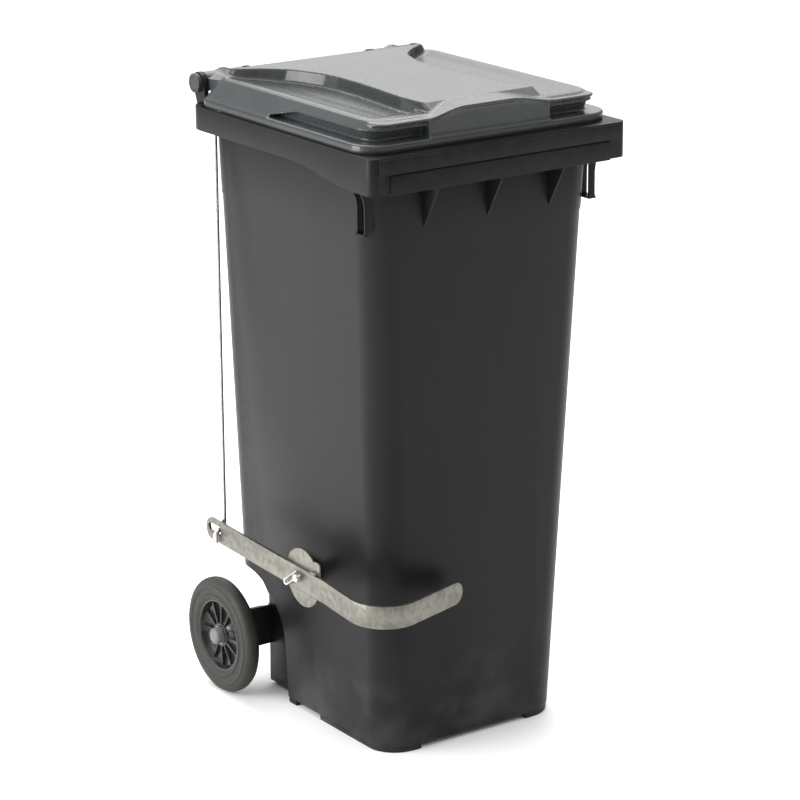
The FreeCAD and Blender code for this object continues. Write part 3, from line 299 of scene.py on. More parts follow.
class Strand:
    """One value, colour or place on its way through a finish.  Sums written with it add Math nodes."""

    def __init__(self, tree, socket):
        self.tree = tree
        self.socket = socket

    def node(self, kind, settings=None, sockets=None, out=0):
        """Any node: its settings first, then the values or links of its sockets."""
        made = self.tree.nodes.new(kind)
        for name, value in (settings or {}).items():
            if name == "stops":
                ramp = made.color_ramp
                while len(ramp.elements) < len(value):
                    ramp.elements.new(1.0)
                for stop, (place, shade) in zip(ramp.elements, value):
                    stop.position = place
                    stop.color = (shade, shade, shade, 1.0)
            else:
                setattr(made, name, value)
        for name, value in (sockets or {}).items():
            if isinstance(value, Strand):
                self.tree.links.new(value.socket, made.inputs[name])
            else:
                made.inputs[name].default_value = value
        return Strand(self.tree, made.outputs[out])

    def sum_node(self, how, a, b):
        return self.node("ShaderNodeMath", {"operation": how}, {0: a, 1: b})

    def __add__(self, other):
        return self.sum_node("ADD", self, other)

    def __radd__(self, other):
        return self.sum_node("ADD", other, self)

    def __sub__(self, other):
        return self.sum_node("SUBTRACT", self, other)

    def __rsub__(self, other):
        return self.sum_node("SUBTRACT", other, self)

    def __mul__(self, other):
        return self.sum_node("MULTIPLY", self, other)

    def __rmul__(self, other):
        return self.sum_node("MULTIPLY", other, self)

    def __truediv__(self, other):
        return self.sum_node("DIVIDE", self, other)

    def between(self, low, high):
        """0 below low, 1 above high, and a soft slope between."""
        return self.node("ShaderNodeMapRange", {"interpolation_type": "SMOOTHSTEP"},
                         {"Value": self, "From Min": low, "From Max": high})

    def noise(self, scale, detail=2.0, stretch=(1.0, 1.0, 1.0), turn=(0.0, 0.0, 0.0)):
        """Soft random pattern on this place; stretch packs it closer along an axis."""
        place = self.node("ShaderNodeMapping", {}, {"Vector": self, "Scale": stretch, "Rotation": turn})
        return self.node("ShaderNodeTexNoise", {}, {"Vector": place, "Scale": scale, "Detail": detail})

    def blend(self, first, second):
        """This value mixes two colours."""
        return self.node("ShaderNodeMix", {"data_type": "RGBA"}, {0: self, 6: first, 7: second}, out=2)

    def axis(self, index):
        return self.node("ShaderNodeSeparateXYZ", {}, {"Vector": self}, out=index)


def new_finish(name):
    """A material, its shader, and the place on the piece as a strand."""
    finish = bpy.data.materials.new(name)
    finish.use_nodes = True
    tree = finish.node_tree
    place = Strand(tree, tree.nodes.new("ShaderNodeTexCoord").outputs["Object"])
    return finish, tree.nodes["Principled BSDF"], place


def set_shader(shader, place, **sockets):
    """Gives the shader its values: plain numbers on its own sockets, strands as links."""
    for name, value in sockets.items():
        socket = shader.inputs[name.replace("_", " ")]
        if isinstance(value, Strand):
            place.tree.links.new(value.socket, socket)
        else:
            socket.default_value = value


def scratch_lines(place, turn, spacing, share):
    """Fine scratches: thin broken lines that all lie about one way."""
    long = place.noise(spacing, 1.0, (1.0, 1.0, 0.02), turn)
    off = (long - 0.5).node("ShaderNodeMath", {"operation": "ABSOLUTE"}, {0: long - 0.5})
    line = 1.0 - off.between(0.001, 0.006)
    return line * place.noise(7.0, 3.0).between(1.0 - share, 1.1 - share)


def moulded_plastic(name, colour, gloss, grain=0.5, worn=0.5, edge_wear=0.5, dusty_below=0.0, shine=0.42):
    """Injection-moulded polyethylene: a fine grain, faint flow streaks, scuffs and worn edges."""
    finish, shader, place = new_finish(name)
    clouds = place.noise(3.1, 4.0)
    streaks = place.noise(9.0, 3.0, (1.0, 1.0, 0.10))
    scuffs = (place.noise(90.0, 7.0, (1.0, 1.0, 0.45)).between(0.55, 0.75)
              * place.noise(7.0, 3.0).between(0.48, 0.66))
    marks = (scratch_lines(place, (0.5, 0.2, 0.1), 95.0, 0.50)
             + scratch_lines(place, (-1.1, 0.4, 0.9), 60.0, 0.46))
    edges = place.node("ShaderNodeNewGeometry", {}, {}, out=7).between(0.515, 0.60) * edge_wear
    wear = edges * place.noise(60.0, 4.0).between(0.35, 0.65) + scuffs * (0.22 * worn) + marks * (0.26 * worn)
    dark = tuple(0.80 * c for c in colour) + (1.0,)
    light = tuple(1.22 * c for c in colour) + (1.0,)
    body = (clouds * 0.6 + streaks * 0.4).between(0.30, 0.70).blend(dark, light)
    rubbed = tuple(min(1.0, 2.0 * c + 0.012) for c in colour) + (1.0,)
    body = wear.node("ShaderNodeClamp", {}, {"Value": wear * 0.75}).blend(body, rubbed)
    if dusty_below > 0.0:
        low = 1.0 - place.axis(2).between(0.0, dusty_below)
        dust = low * place.noise(14.0, 5.0).between(0.35, 0.75) * 0.35
        body = dust.blend(body, (0.085, 0.083, 0.078, 1.0))
    skin = place.noise(1150.0, 2.0) * 0.7 + place.noise(360.0, 2.0) * 0.3
    waves = place.noise(11.0, 1.0)
    height = skin * grain + waves * 5.0 + marks * -0.5 + scuffs * 0.3
    relief = height.node("ShaderNodeBump", {}, {"Height": height, "Strength": 0.35, "Distance": 0.00022})
    rough = gloss + (clouds - 0.5) * 0.16 + (place.noise(160.0, 3.0) - 0.5) * 0.12 + wear * 0.22
    set_shader(shader, place, Base_Color=body, Roughness=rough, Normal=relief, Specular_IOR_Level=shine)
    return finish


def finish_with(piece, finish):
    piece.data.materials.clear()
    piece.data.materials.append(finish)


container_plastic = moulded_plastic("container_plastic_finish", (0.0085, 0.0088, 0.0088), 0.40,
                                    0.5, 0.35, 0.25,
                                    0.22, 0.15)

tub = tub_solid("container_tub", 0.0, 6.0, RIM_TOP - 3.0)
slice_at(tub, (0.0, 0.0, STEP_Z), (0.0, 0.0, 1.0))
slice_at(tub, (0.0, 0.0, STEP_Z + 3.0), (0.0, 0.0, 1.0))
choose(tub, "VERT", lambda v: v.z > STEP_Z + 2.0)
bpy.ops.transform.resize(value=(1.0045, 1.0045, 1.0), center_override=at(0.0, 270.0, 0.0))
set_down()
round_edges(tub, lambda a, b: max(a.z, b.z) < 7.0, 7.0, 4)
for room in rear_room(0.0):
    combine(tub, room, "DIFFERENCE")
core = tub_solid("core", WALL, 6.0 + WALL, RIM_TOP + 4.0)
for room in rear_room(WALL):
    combine(core, room, "DIFFERENCE")
combine(tub, core, "DIFFERENCE")
soften(tub, 1.6, 2, 40.0)
finish_with(tub, container_plastic)
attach(tub, "container")


# ---- container: rim --------------------------------------------------------------------------
# The rim is a flat flange with a turned-down skirt, deeper at the front than at the sides.  Two
# flat comb bands stand proud of its front, for the lifting comb of a lorry.
HALF_RIM = 240.0
RIM_DEPTH = 525.0
SKIRT_WALL = 3.6
FLANGE = 4.0
SKIRT_FRONT, SKIRT_REAR = 56.0, 37.0
SKIRT_TURN = (45.0, 225.0)
RIM_FRONT_R, RIM_REAR_R = 14.0, 42.0
BANDS = ((226.0, 965.0, 988.0), (206.0, 933.0, 962.0))
ROD_SLOT = ((-233.4, 430.6, 984.0), (-213.5, 489.7, 995.0))


def rim_solid(name, inset, low, top):
    piece = block(name, (-HALF_RIM + inset, inset, low), (HALF_RIM - inset, RIM_DEPTH - inset, top))
    round_edges(piece, lambda a, b: abs(a.z - b.z) > 20.0 and a.y < 200.0, RIM_FRONT_R - inset, 8)
    round_edges(piece, lambda a, b: abs(a.z - b.z) > 20.0 and min(a.y, b.y) > 400.0, RIM_REAR_R - inset, 12)
    return piece


rim = rim_solid("rim_moulding", 0.0, RIM_TOP - SKIRT_FRONT, RIM_TOP)
combine(rim, rim_solid("hollow", SKIRT_WALL, RIM_TOP - SKIRT_FRONT - 20.0, RIM_TOP - FLANGE), "DIFFERENCE")
mouth = tub_solid("mouth", WALL, RIM_TOP - 40.0, RIM_TOP + 20.0)
combine(rim, mouth, "DIFFERENCE")
cuts = 12
for index in range(cuts + 1):
    along = SKIRT_TURN[0] + (SKIRT_TURN[1] - SKIRT_TURN[0]) * index / cuts
    slice_at(rim, (0.0, along, 960.0), (0.0, 1.0, 0.0))
for index in range(cuts + 1):
    along = SKIRT_TURN[0] + (SKIRT_TURN[1] - SKIRT_TURN[0]) * index / cuts
    part = index / cuts
    lift = (SKIRT_FRONT - SKIRT_REAR) * part * part * (3.0 - 2.0 * part)
    if lift > 0.0:
        near = 1.0 if index < cuts else 400.0
        choose(rim, "VERT", lambda v: v.z < RIM_TOP - SKIRT_FRONT + 1.0 and along - 1.0 < v.y < along + near)
        shift(0.0, 0.0, lift)
        set_down()
for half, low, top in BANDS:
    combine(rim, block("comb_band", (-half, -COMB_PROUD, low), (half, 2.0, top)), "UNION")
soften(rim, 1.8, 3, 40.0)
combine(rim, block("rod_slot", ROD_SLOT[0], ROD_SLOT[1]), "DIFFERENCE")
finish_with(rim, container_plastic)
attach(rim, "container")
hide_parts("container_rim")

# ---- container: gussets and corner flanges ---------------------------------------------------
# Thin moulded ribs tie the rim to the tub: three blades behind the comb, and at each front corner
# a hooked pair of fins joined by a web.
GUSSET_PLACES = (-118.0, 0.0, 118.0)
GUSSET_FOOT = 868.0
FIN_Y = (50.0, 70.0)
FIN_FOOT = 861.0
FIN_REACH = 218.0


def wall_front(z):
    return BASE_FRONT + (TOP_FRONT - BASE_FRONT) * z / RIM_TOP


def wall_side(z):
    return BASE_HALF + (TOP_HALF - BASE_HALF) * z / RIM_TOP


def gusset_at(x):
    blade = block("front_gusset", (x - 2.0, 2.0, GUSSET_FOOT),
                  (x + 2.0, wall_front(GUSSET_FOOT) + 2.0, RIM_TOP - 3.0))
    slice_at(blade, (0.0, 0.0, 928.0), (0.0, 0.0, 1.0))
    choose(blade, "VERT", lambda v: v.z < 900.0 and v.y < 10.0)
    shift(0.0, wall_front(GUSSET_FOOT) - 4.0, 0.0)
    choose(blade, "VERT", lambda v: v.z < 900.0)
    bpy.ops.transform.resize(value=(0.6, 1.0, 1.0), center_override=at(x, 30.0, GUSSET_FOOT))
    set_down()
    return blade


gussets = [gusset_at(x) for x in GUSSET_PLACES]


def corner_flange(side):
    """Two fins, wide under the rim, narrow below with a small hook, and a web between their feet."""
    inner = wall_side(FIN_FOOT) - 2.0
    pieces = []
    for y in FIN_Y:
        fin = block("fin", (inner, y, FIN_FOOT), (FIN_REACH, y + 3.0, RIM_TOP - 3.0))
        for level in (FIN_FOOT + 7.0, 905.0, 918.0, 928.0):
            slice_at(fin, (0.0, 0.0, level), (0.0, 0.0, 1.0))
        for level, reach in ((918.0, 2.0), (928.0, 7.0), (RIM_TOP - 3.0, 19.0)):
            choose(fin, "VERT", lambda v: abs(v.z - level) < 1.0 and v.x > 212.0)
            shift(reach, 0.0, 0.0)
            set_down()
        choose(fin, "VERT", lambda v: abs(v.z - FIN_FOOT) < 1.0 and v.x > 212.0)
        shift(3.0, 0.0, 0.0)
        set_down()
        soften(fin, 0.7, 2)
        pieces.append(fin)
    web = block("fin_web", (inner, FIN_Y[0] + 1.0, FIN_FOOT + 0.5),
                (FIN_REACH + 1.0, FIN_Y[1] + 2.0, FIN_FOOT + 3.5))
    round_edges(web, lambda a, b: min(a.x, b.x) > 212.0, 0.8, 2)
    pieces.append(web)
    if side < 0.0:
        for piece in pieces:
            mirror_over(piece)
    return pieces


def mirror_over(piece):
    """Turns a finished right-hand piece into its left-hand twin."""
    choose(piece, "FACE", lambda c, n: True)
    bpy.ops.transform.resize(value=(-1.0, 1.0, 1.0), center_override=(0.0, 0.0, 0.0))
    bpy.ops.mesh.flip_normals()
    set_down()


flanges = corner_flange(1.0) + corner_flange(-1.0)
for gusset in gussets:
    soften(gusset, 0.8, 2)
take_up(gussets[0])
for piece in gussets + flanges:
    piece.select_set(True)
bpy.ops.object.join()
ribs = bpy.context.object
ribs.name = "container_ribs"
finish_with(ribs, container_plastic)
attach(ribs, "container")

# ---- container: hinge ears and handle --------------------------------------------------------
# Four upright ears stand on the back of the rim and hold the lid's pins; the inner two carry on
# rearwards to the round bar that the bin is wheeled by.
HINGE_Y, HINGE_Z = 530.0, 1020.0
EAR_R = 17.0
EAR_OUTER, EAR_INNER, EAR_THICK = 205.0, 117.0, 8.0
HANDLE_Y, HANDLE_Z, HANDLE_R = 553.0, 1000.0, 13.0
PIN_HOLE_R = 9.05


def ear_at(x, with_handle):
    """Slab between rim and pin, its top rounded about the pin."""
    low = RIM_TOP - SKIRT_REAR + 2.0
    slab = block("ear", (x, 503.0, low), (x + EAR_THICK, 522.0, HINGE_Z))
    choose(slab, "VERT", lambda v: v.z > HINGE_Z - 1.0 and v.y > 510.0)
    shift(0.0, HINGE_Y + EAR_R - 522.0, 0.0)
    choose(slab, "VERT", lambda v: v.z > HINGE_Z - 1.0 and v.y < 510.0)
    shift(0.0, HINGE_Y - EAR_R - 503.0, 0.0)
    set_down()
    combine(slab, bar("knuckle", (x, HINGE_Y, HINGE_Z), (x + EAR_THICK, HINGE_Y, HINGE_Z), EAR_R), "UNION")
    if with_handle:
        combine(slab, bar("eye", (x, HANDLE_Y, HANDLE_Z), (x + EAR_THICK, HANDLE_Y, HANDLE_Z), HANDLE_R + 2.0),
                "UNION")
        arm = block("arm", (x, 519.0, low), (x + EAR_THICK, HANDLE_Y, HANDLE_Z))
        choose(arm, "VERT", lambda v: v.y > 540.0 and v.z < 970.0)
        shift(0.0, 0.0, HANDLE_Z - HANDLE_R - 1.5 - low)
        choose(arm, "VERT", lambda v: v.y > 540.0 and v.z > 995.0)
        shift(0.0, 11.0, 9.0)
        choose(arm, "VERT", lambda v: v.y < 525.0 and v.z > 995.0)
        shift(0.0, 20.0, 30.0)
        set_down()
        combine(slab, arm, "UNION")
    combine(slab, bar("pin_hole", (x - 2.0, HINGE_Y, HINGE_Z),
                      (x + EAR_THICK + 2.0, HINGE_Y, HINGE_Z), PIN_HOLE_R),
            "DIFFERENCE")
    soften(slab, 1.2, 2)
    return slab


ears = []
for x in (EAR_OUTER, -EAR_OUTER - EAR_THICK):
    ears.append(ear_at(x, False))
for x in (EAR_INNER, -EAR_INNER - EAR_THICK):
    ears.append(ear_at(x, True))
handle = bar("handle_bar", (-EAR_INNER - 1.0, HANDLE_Y, HANDLE_Z),
             (EAR_INNER + 1.0, HANDLE_Y, HANDLE_Z), HANDLE_R)
for level in range(-5, 6):
    slice_at(handle, (level * 20.0, 0.0, 0.0), (1.0, 0.0, 0.0))
    choose(handle, "VERT", lambda v: abs(v.x - level * 20.0) < 0.5)
    bpy.ops.transform.resize(value=(1.0, 0.96, 0.96), center_override=at(0.0, HANDLE_Y, HANDLE_Z))
    set_down()
take_up(handle)
bpy.ops.object.shade_smooth_by_angle(angle=math.radians(34.0))
ears.append(handle)
take_up(ears[0])
for piece in ears:
    piece.select_set(True)
bpy.ops.object.join()
ears = bpy.context.object
ears.name = "hinge_ears"
finish_with(ears, container_plastic)
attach(ears, "container")
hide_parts("container_ears")

# ---- container: base, axle blocks and bracket pad --------------------------------------------
# Skid lips under the front corners carry the tub on the floor, two round bosses hold the steel
# axle, and a flat pad on the pedal side gives the bracket a square seat.
FOOT_LIP = 14.0
AXLE_HOLE_R = 10.05
BOSS_R, BOSS_END = 18.0, 188.0
FOOT_Y, FOOT_Z = 283.0, 258.0
PAD_X, PAD_WIDE, PAD_HIGH = 190.0, 72.0, 48.0

lips = tub_solid("container_feet", 1.0, 0.0, 9.0)
combine(lips, tub_solid("hollow", FOOT_LIP, -4.0, 14.0), "DIFFERENCE")
for room in rear_room(0.0):
    combine(lips, room, "DIFFERENCE")
combine(lips, block("between", (-GUSSET_PLACES[2] + 14.0, 0.0, -5.0), (GUSSET_PLACES[2] - 14.0, 620.0, 20.0)),
        "DIFFERENCE")
for side in (-1.0, 1.0):
    a, b = side * 90.0, side * 250.0
    combine(lips, block("between", (min(a, b), 265.0, -5.0), (max(a, b), 336.0, 20.0)), "DIFFERENCE")
soften(lips, 1.2, 2)

bosses = []
for side in (-1.0, 1.0):
    boss = bar("boss", (side * (WELL_X - 30.0), AXLE_Y, AXLE_Z), (side * BOSS_END, AXLE_Y, AXLE_Z), BOSS_R)
    rib = block("boss_rib", (-3.0, LOW_REAR - 2.0, 50.0), (3.0, AXLE_Y + 10.0, 158.0))
    choose(rib, "VERT", lambda v: v.y > AXLE_Y)
    bpy.ops.transform.resize(value=(1.0, 1.0, 0.3), center_override=at(0.0, AXLE_Y, AXLE_Z))
    choose(rib, "FACE", lambda c, n: True)
    shift(side * (WELL_X - 12.0), 0.0, 0.0)
    set_down()
    combine(boss, rib, "UNION")
    carrier = block("axle_carrier", (-17.0, LOW_REAR - 6.0, AXLE_Z - 24.0),
                    (17.0, AXLE_Y + 16.0, AXLE_Z + 44.0))
    choose(carrier, "VERT", lambda v: v.y > AXLE_Y and v.z > AXLE_Z)
    shift(0.0, 0.0, -16.0)
    choose(carrier, "FACE", lambda c, n: True)
    shift(side * (WELL_X + 15.0), 0.0, 0.0)
    set_down()
    combine(boss, carrier, "UNION")
    hole = bar("axle_hole", (side * 100.0, AXLE_Y, AXLE_Z), (side * 200.0, AXLE_Y, AXLE_Z), AXLE_HOLE_R)
    combine(boss, hole, "DIFFERENCE")
    soften(boss, 1.4, 2)
    bosses.append(boss)

pad = block("bracket_pad", (-PAD_X, FOOT_Y - PAD_WIDE / 2.0, FOOT_Z - PAD_HIGH / 2.0),
            (-wall_side(FOOT_Z - PAD_HIGH / 2.0) + 3.0, FOOT_Y + PAD_WIDE / 2.0, FOOT_Z + PAD_HIGH / 2.0))
round_edges(pad, lambda a, b: abs(a.x - b.x) > 3.0, 8.0, 5)
soften(pad, 1.6, 3)
take_up(lips)
for piece in bosses + [pad]:
    piece.select_set(True)
bpy.ops.object.join()
lips.name = "container_fittings"
finish_with(lips, container_plastic)
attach(lips, "container")
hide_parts("container_body")

# ---- lid -------------------------------------------------------------------------------------
# The lid is one moulding too: an upright edge band, a side wall that leans in to dished shoulders,
# a raised middle panel that narrows in the waist, and a finger recess round both front corners.
LID_HALF = 233.0
LID_FRONT, LID_REAR = 22.0, 500.0
LID_FRONT_R, LID_REAR_R = 45.0, 28.0
LID_LOW, BAND_TOP = 990.4, 1004.0
SHOULDER_Z, PANEL_Z = 1035.0, 1048.6
LID_LEAN = 26.0
GRIP_TOP, GRIP_DEPTH = 1021.0, 30.0
GRIP_START, GRIP_FULL = 300.0, 236.0
BLOCK_X = (-116.0, 110.0)
LID_WALL = 2.4
PANEL_STATIONS = ((70.0, 97.0), (125.0, 99.0), (190.0, 93.0), (252.0, 88.0), (311.0, 87.0), (345.0, 91.0),
                  (371.0, 98.0), (395.0, 106.0), (416.0, 117.0), (433.0, 133.0), (447.0, 150.0),
                  (460.0, 170.0), (468.0, 181.0))
PANEL_REAR = 482.0


def ease(value, start, end):
    """0 before start, 1 after end, with a soft beginning and end between."""
    part = min(1.0, max(0.0, (value - start) / (end - start)))
    return part * part * (3.0 - 2.0 * part)


def lid_ring(name, inset, low, top):
    piece = block(name, (-LID_HALF + inset, LID_FRONT + inset, low), (LID_HALF - inset, LID_REAR - inset, top))
    tall = (top - low) * 0.8
    round_edges(piece, lambda a, b: abs(a.z - b.z) > tall and min(a.y, b.y) < 200.0,
                LID_FRONT_R - inset * 0.7, 10)
    round_edges(piece, lambda a, b: (abs(a.z - b.z) > tall and min(a.y, b.y) > 400.0
                                     and min(abs(a.x), abs(b.x)) > 100.0),
                LID_REAR_R - inset * 0.5, 8)
    return piece


# leaning wall up to the shoulders, whose top is dished
walls = lid_ring("lid_walls", 0.0, BAND_TOP - 3.0, SHOULDER_Z)
choose(walls, "VERT", lambda v: v.z > SHOULDER_Z - 1.0)
bpy.ops.transform.resize(value=((LID_HALF - LID_LEAN) / LID_HALF, 1.0, 1.0),
                         center_override=at(0.0, 260.0, 0.0))
choose(walls, "VERT", lambda v: v.z > SHOULDER_Z - 1.0)
squeeze = (LID_REAR - 16.0 - LID_FRONT - 18.0) / (LID_REAR - LID_FRONT)
bpy.ops.transform.resize(value=(1.0, squeeze, 1.0), center_override=at(0.0, 262.0, 0.0))
choose(walls, "FACE", lambda c, n: n.z > 0.9)
bpy.ops.mesh.inset(thickness=5.0 * MM, depth=2.0 * MM)
bpy.ops.mesh.inset(thickness=9.0 * MM, depth=-1.0 * MM)
bpy.ops.mesh.inset(thickness=16.0 * MM, depth=-4.5 * MM)
bpy.ops.mesh.inset(thickness=34.0 * MM, depth=-4.0 * MM)
set_down()

# finger recess: a groove under the shoulders, all round the front but for the middle block
groove = block("recess", (-270.0, -20.0, BAND_TOP), (270.0, GRIP_START, GRIP_TOP))
slice_at(groove, (0.0, GRIP_FULL, 0.0), (0.0, 1.0, 0.0))
choose(groove, "VERT", lambda v: v.y > GRIP_START - 1.0 and v.z > GRIP_TOP - 1.0)
shift(0.0, 0.0, BAND_TOP + 3.0 - GRIP_TOP)
set_down()
core = lid_ring("recess_core", GRIP_DEPTH, BAND_TOP - 10.0, GRIP_TOP + 10.0)
choose(core, "VERT", lambda v: v.z > GRIP_TOP)
bpy.ops.transform.resize(value=(1.05, 1.04, 1.0), center_override=at(0.0, 262.0, 0.0))
set_down()
combine(groove, core, "DIFFERENCE")
middle = block("recess_middle", (BLOCK_X[0], -30.0, BAND_TOP - 10.0), (BLOCK_X[1], 120.0, GRIP_TOP + 10.0))
combine(groove, middle, "DIFFERENCE")
combine(walls, groove, "DIFFERENCE")
choose(walls, "VERT", lambda v: abs(v.x) > LID_HALF + 5.0 or v.y > LID_REAR + 5.0)
bpy.ops.mesh.dissolve_verts()
set_down()

# front shoulders reach further out over the recess, and a lip waves over the middle block
lip = block("lid_lip", (-206.0, 27.0, SHOULDER_Z - 6.0), (206.0, 76.0, SHOULDER_Z - 1.5))
round_edges(lip, lambda a, b: abs(a.z - b.z) > 3.0 and min(a.y, b.y) < 50.0, 24.0, 8)
for index in range(-20, 21):
    slice_at(lip, (index * 10.0, 0.0, 0.0), (1.0, 0.0, 0.0))
for index in range(-20, 21):
    x = index * 10.0
    crest = ease(x, -118.0, -52.0) * (1.0 - ease(x, 34.0, 128.0))
    choose(lip, "VERT", lambda v: abs(v.x - x) < 4.0)
    shift(0.0, -4.0 * crest, 13.0 * crest)
set_down()
front_block = block("lid_block", (BLOCK_X[0], 24.5, BAND_TOP - 2.0), (BLOCK_X[1], 90.0, SHOULDER_Z - 3.0))
slice_at(front_block, (-52.0, 0.0, 0.0), (1.0, 0.0, 0.0))
slice_at(front_block, (34.0, 0.0, 0.0), (1.0, 0.0, 0.0))
choose(front_block, "VERT", lambda v: v.z > SHOULDER_Z - 5.0 and -60.0 < v.x < 40.0)
shift(0.0, 0.0, 11.0)
choose(front_block, "VERT", lambda v: v.z > SHOULDER_Z - 5.0 and v.y < 40.0)
shift(0.0, 1.5, 0.0)
set_down()

# raised panel: straight at the front, narrow in the waist, wide at the hinge; its front face slopes
panel = block("lid_panel", (-100.0, 70.0, SHOULDER_Z - 12.0), (100.0, PANEL_REAR, PANEL_Z))
for along, half in PANEL_STATIONS[1:]:
    slice_at(panel, (0.0, along, 0.0), (0.0, 1.0, 0.0))
for along, half in PANEL_STATIONS:
    choose(panel, "VERT", lambda v: abs(v.y - along) < 1.0)
    bpy.ops.transform.resize(value=(half / 100.0, 1.0, 1.0), center_override=at(0.0, along, 0.0))
choose(panel, "VERT", lambda v: v.y > PANEL_REAR - 2.0)
bpy.ops.transform.resize(value=(1.84, 1.0, 1.0), center_override=at(0.0, PANEL_REAR, 0.0))
choose(panel, "VERT", lambda v: v.z < SHOULDER_Z - 5.0 and v.y > 90.0)
bpy.ops.transform.resize(value=(1.06, 1.0, 1.0), center_override=at(0.0, 260.0, 0.0))
choose(panel, "VERT", lambda v: v.y < 72.0 and v.x > 0.0)
shift(16.0, 4.0, 0.0)
choose(panel, "VERT", lambda v: v.y < 76.0 and v.z < SHOULDER_Z - 5.0)
shift(0.0, -40.0, 4.0)
choose(panel, "VERT", lambda v: v.y > PANEL_REAR - 2.0 and v.z > SHOULDER_Z)
shift(0.0, -3.0, -2.0)
set_down()

# the band, and the three joined into one skin by remeshing
band = lid_ring("lid", 0.0, LID_LOW, BAND_TOP)
round_edges(band, lambda a, b: min(a.z, b.z) > BAND_TOP - 1.0, 1.6, 2)
take_up(band)
for piece in (walls, lip, front_block, panel):
    piece.select_set(True)
bpy.context.view_layer.objects.active = band
bpy.ops.object.join()
lid = bpy.context.object
skin = lid.modifiers.new("one_skin", "REMESH")
skin.mode = "VOXEL"
skin.voxel_size = 2.0 * MM
relax = lid.modifiers.new("relax", "SMOOTH")
relax.factor = 0.5
relax.iterations = 5
apply_all(lid)
choose(lid, "FACE", lambda c, n: True)
bpy.ops.mesh.bisect(plane_co=at(0.0, 0.0, LID_LOW + 1.0), plane_no=(0.0, 0.0, 1.0), clear_inner=True)
set_down()
choose(lid, "VERT", lambda v: v.z < LID_LOW + 1.2)
shift(0.0, 0.0, -1.0)
set_down()
thin = lid.modifiers.new("thin_out", "DECIMATE")
thin.ratio = 0.5
wall = lid.modifiers.new("wall", "SOLIDIFY")
wall.thickness = LID_WALL * MM
wall.offset = -1.0
apply_all(lid)
bpy.ops.object.shade_smooth_by_angle(angle=math.radians(50.0))
lid_plastic = moulded_plastic("lid_plastic_finish", (0.034, 0.037, 0.039), 0.27, 0.10, 0.3, 0.0, 0.0, 0.5)
finish_with(lid, lid_plastic)
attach(lid, "lid")
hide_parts("lid")
lid.name = "lid_shell"

# ---- lid hinges ------------------------------------------------------------------------------
# A knuckle at each side of the lid's rear edge turns on a push-in pin with a round cap.  Its top
# rises to a peak with a drain notch, and its arm runs forward on to the shoulder.
KNUCKLE_R = 16.0
KNUCKLE_X = (127.0, 203.0)
KNUCKLE_PEAK = 20.0
NOTCH = 5.0
PIN_R, CAP_R, CAP_THICK = 9.0, 15.5, 8.0


def knuckle_right():
    piece = bar("lid_knuckle", (KNUCKLE_X[0], HINGE_Y, HINGE_Z), (KNUCKLE_X[1], HINGE_Y, HINGE_Z), KNUCKLE_R)
    middle = (KNUCKLE_X[0] + KNUCKLE_X[1]) / 2.0
    arm = block("arm", (KNUCKLE_X[0], 462.0, BAND_TOP + 4.0), (KNUCKLE_X[1], HINGE_Y, HINGE_Z + 6.0))
    choose(arm, "VERT", lambda v: v.y > HINGE_Y - 1.0 and v.z < HINGE_Z)
    shift(0.0, 0.0, 2.0)
    choose(arm, "VERT", lambda v: v.y < 470.0 and v.z > HINGE_Z)
    shift(0.0, 0.0, 6.0)
    set_down()
    combine(piece, arm, "UNION")
    roof = block("roof", (KNUCKLE_X[0], HINGE_Y - 62.0, HINGE_Z), (KNUCKLE_X[1], HINGE_Y + 5.0, HINGE_Z + 5.0))
    slice_at(roof, (middle, 0.0, 0.0), (1.0, 0.0, 0.0))
    choose(roof, "VERT", lambda v: abs(v.x - middle) < 1.0 and v.z > HINGE_Z + 3.0)
    shift(0.0, 0.0, KNUCKLE_PEAK - 5.0)
    choose(roof, "VERT", lambda v: abs(v.x - middle) > 1.0 and v.z > HINGE_Z + 3.0)
    shift(0.0, 0.0, 2.0)
    set_down()
    combine(piece, roof, "UNION")
    notch = block("notch", (middle - NOTCH, HINGE_Y - 80.0, HINGE_Z + KNUCKLE_PEAK - NOTCH),
                  (middle + NOTCH, HINGE_Y + 20.0, HINGE_Z + KNUCKLE_PEAK + 4.0))
    choose(notch, "VERT", lambda v: v.z < HINGE_Z + KNUCKLE_PEAK)
    bpy.ops.transform.resize(value=(0.05, 1.0, 1.0), center_override=at(middle, 0.0, 0.0))
    set_down()
    combine(piece, notch, "DIFFERENCE")
    hole = bar("pin_hole", (100.0, HINGE_Y, HINGE_Z), (240.0, HINGE_Y, HINGE_Z), PIN_R + 0.05)
    combine(piece, hole, "DIFFERENCE")
    soften(piece, 1.0, 2)
    return piece


def copy_of(piece, name):
    take_up(piece)
    bpy.ops.object.duplicate(linked=False)
    twin = bpy.context.object
    twin.name = name
    return twin


def pin_right():
    """Pin with a domed cap whose face is dished inside a raised rim."""
    pin = bar("hinge_pin", (EAR_INNER - 4.0, HINGE_Y, HINGE_Z),
              (EAR_OUTER + EAR_THICK + 0.4, HINGE_Y, HINGE_Z), PIN_R)
    cap = bar("cap", (EAR_OUTER + EAR_THICK + 0.3, HINGE_Y, HINGE_Z),
              (EAR_OUTER + EAR_THICK + CAP_THICK, HINGE_Y, HINGE_Z), CAP_R)
    choose(cap, "FACE", lambda c, n: n.x > 0.9)
    bpy.ops.mesh.inset(thickness=2.4 * MM, depth=0.0)
    bpy.ops.mesh.inset(thickness=0.8 * MM, depth=-1.6 * MM)
    bpy.ops.mesh.inset(thickness=7.0 * MM, depth=0.6 * MM)
    set_down()
    soften(cap, 0.8, 2)
    take_up(pin)
    cap.select_set(True)
    bpy.ops.object.join()
    bpy.ops.object.shade_smooth_by_angle(angle=math.radians(34.0))
    return pin


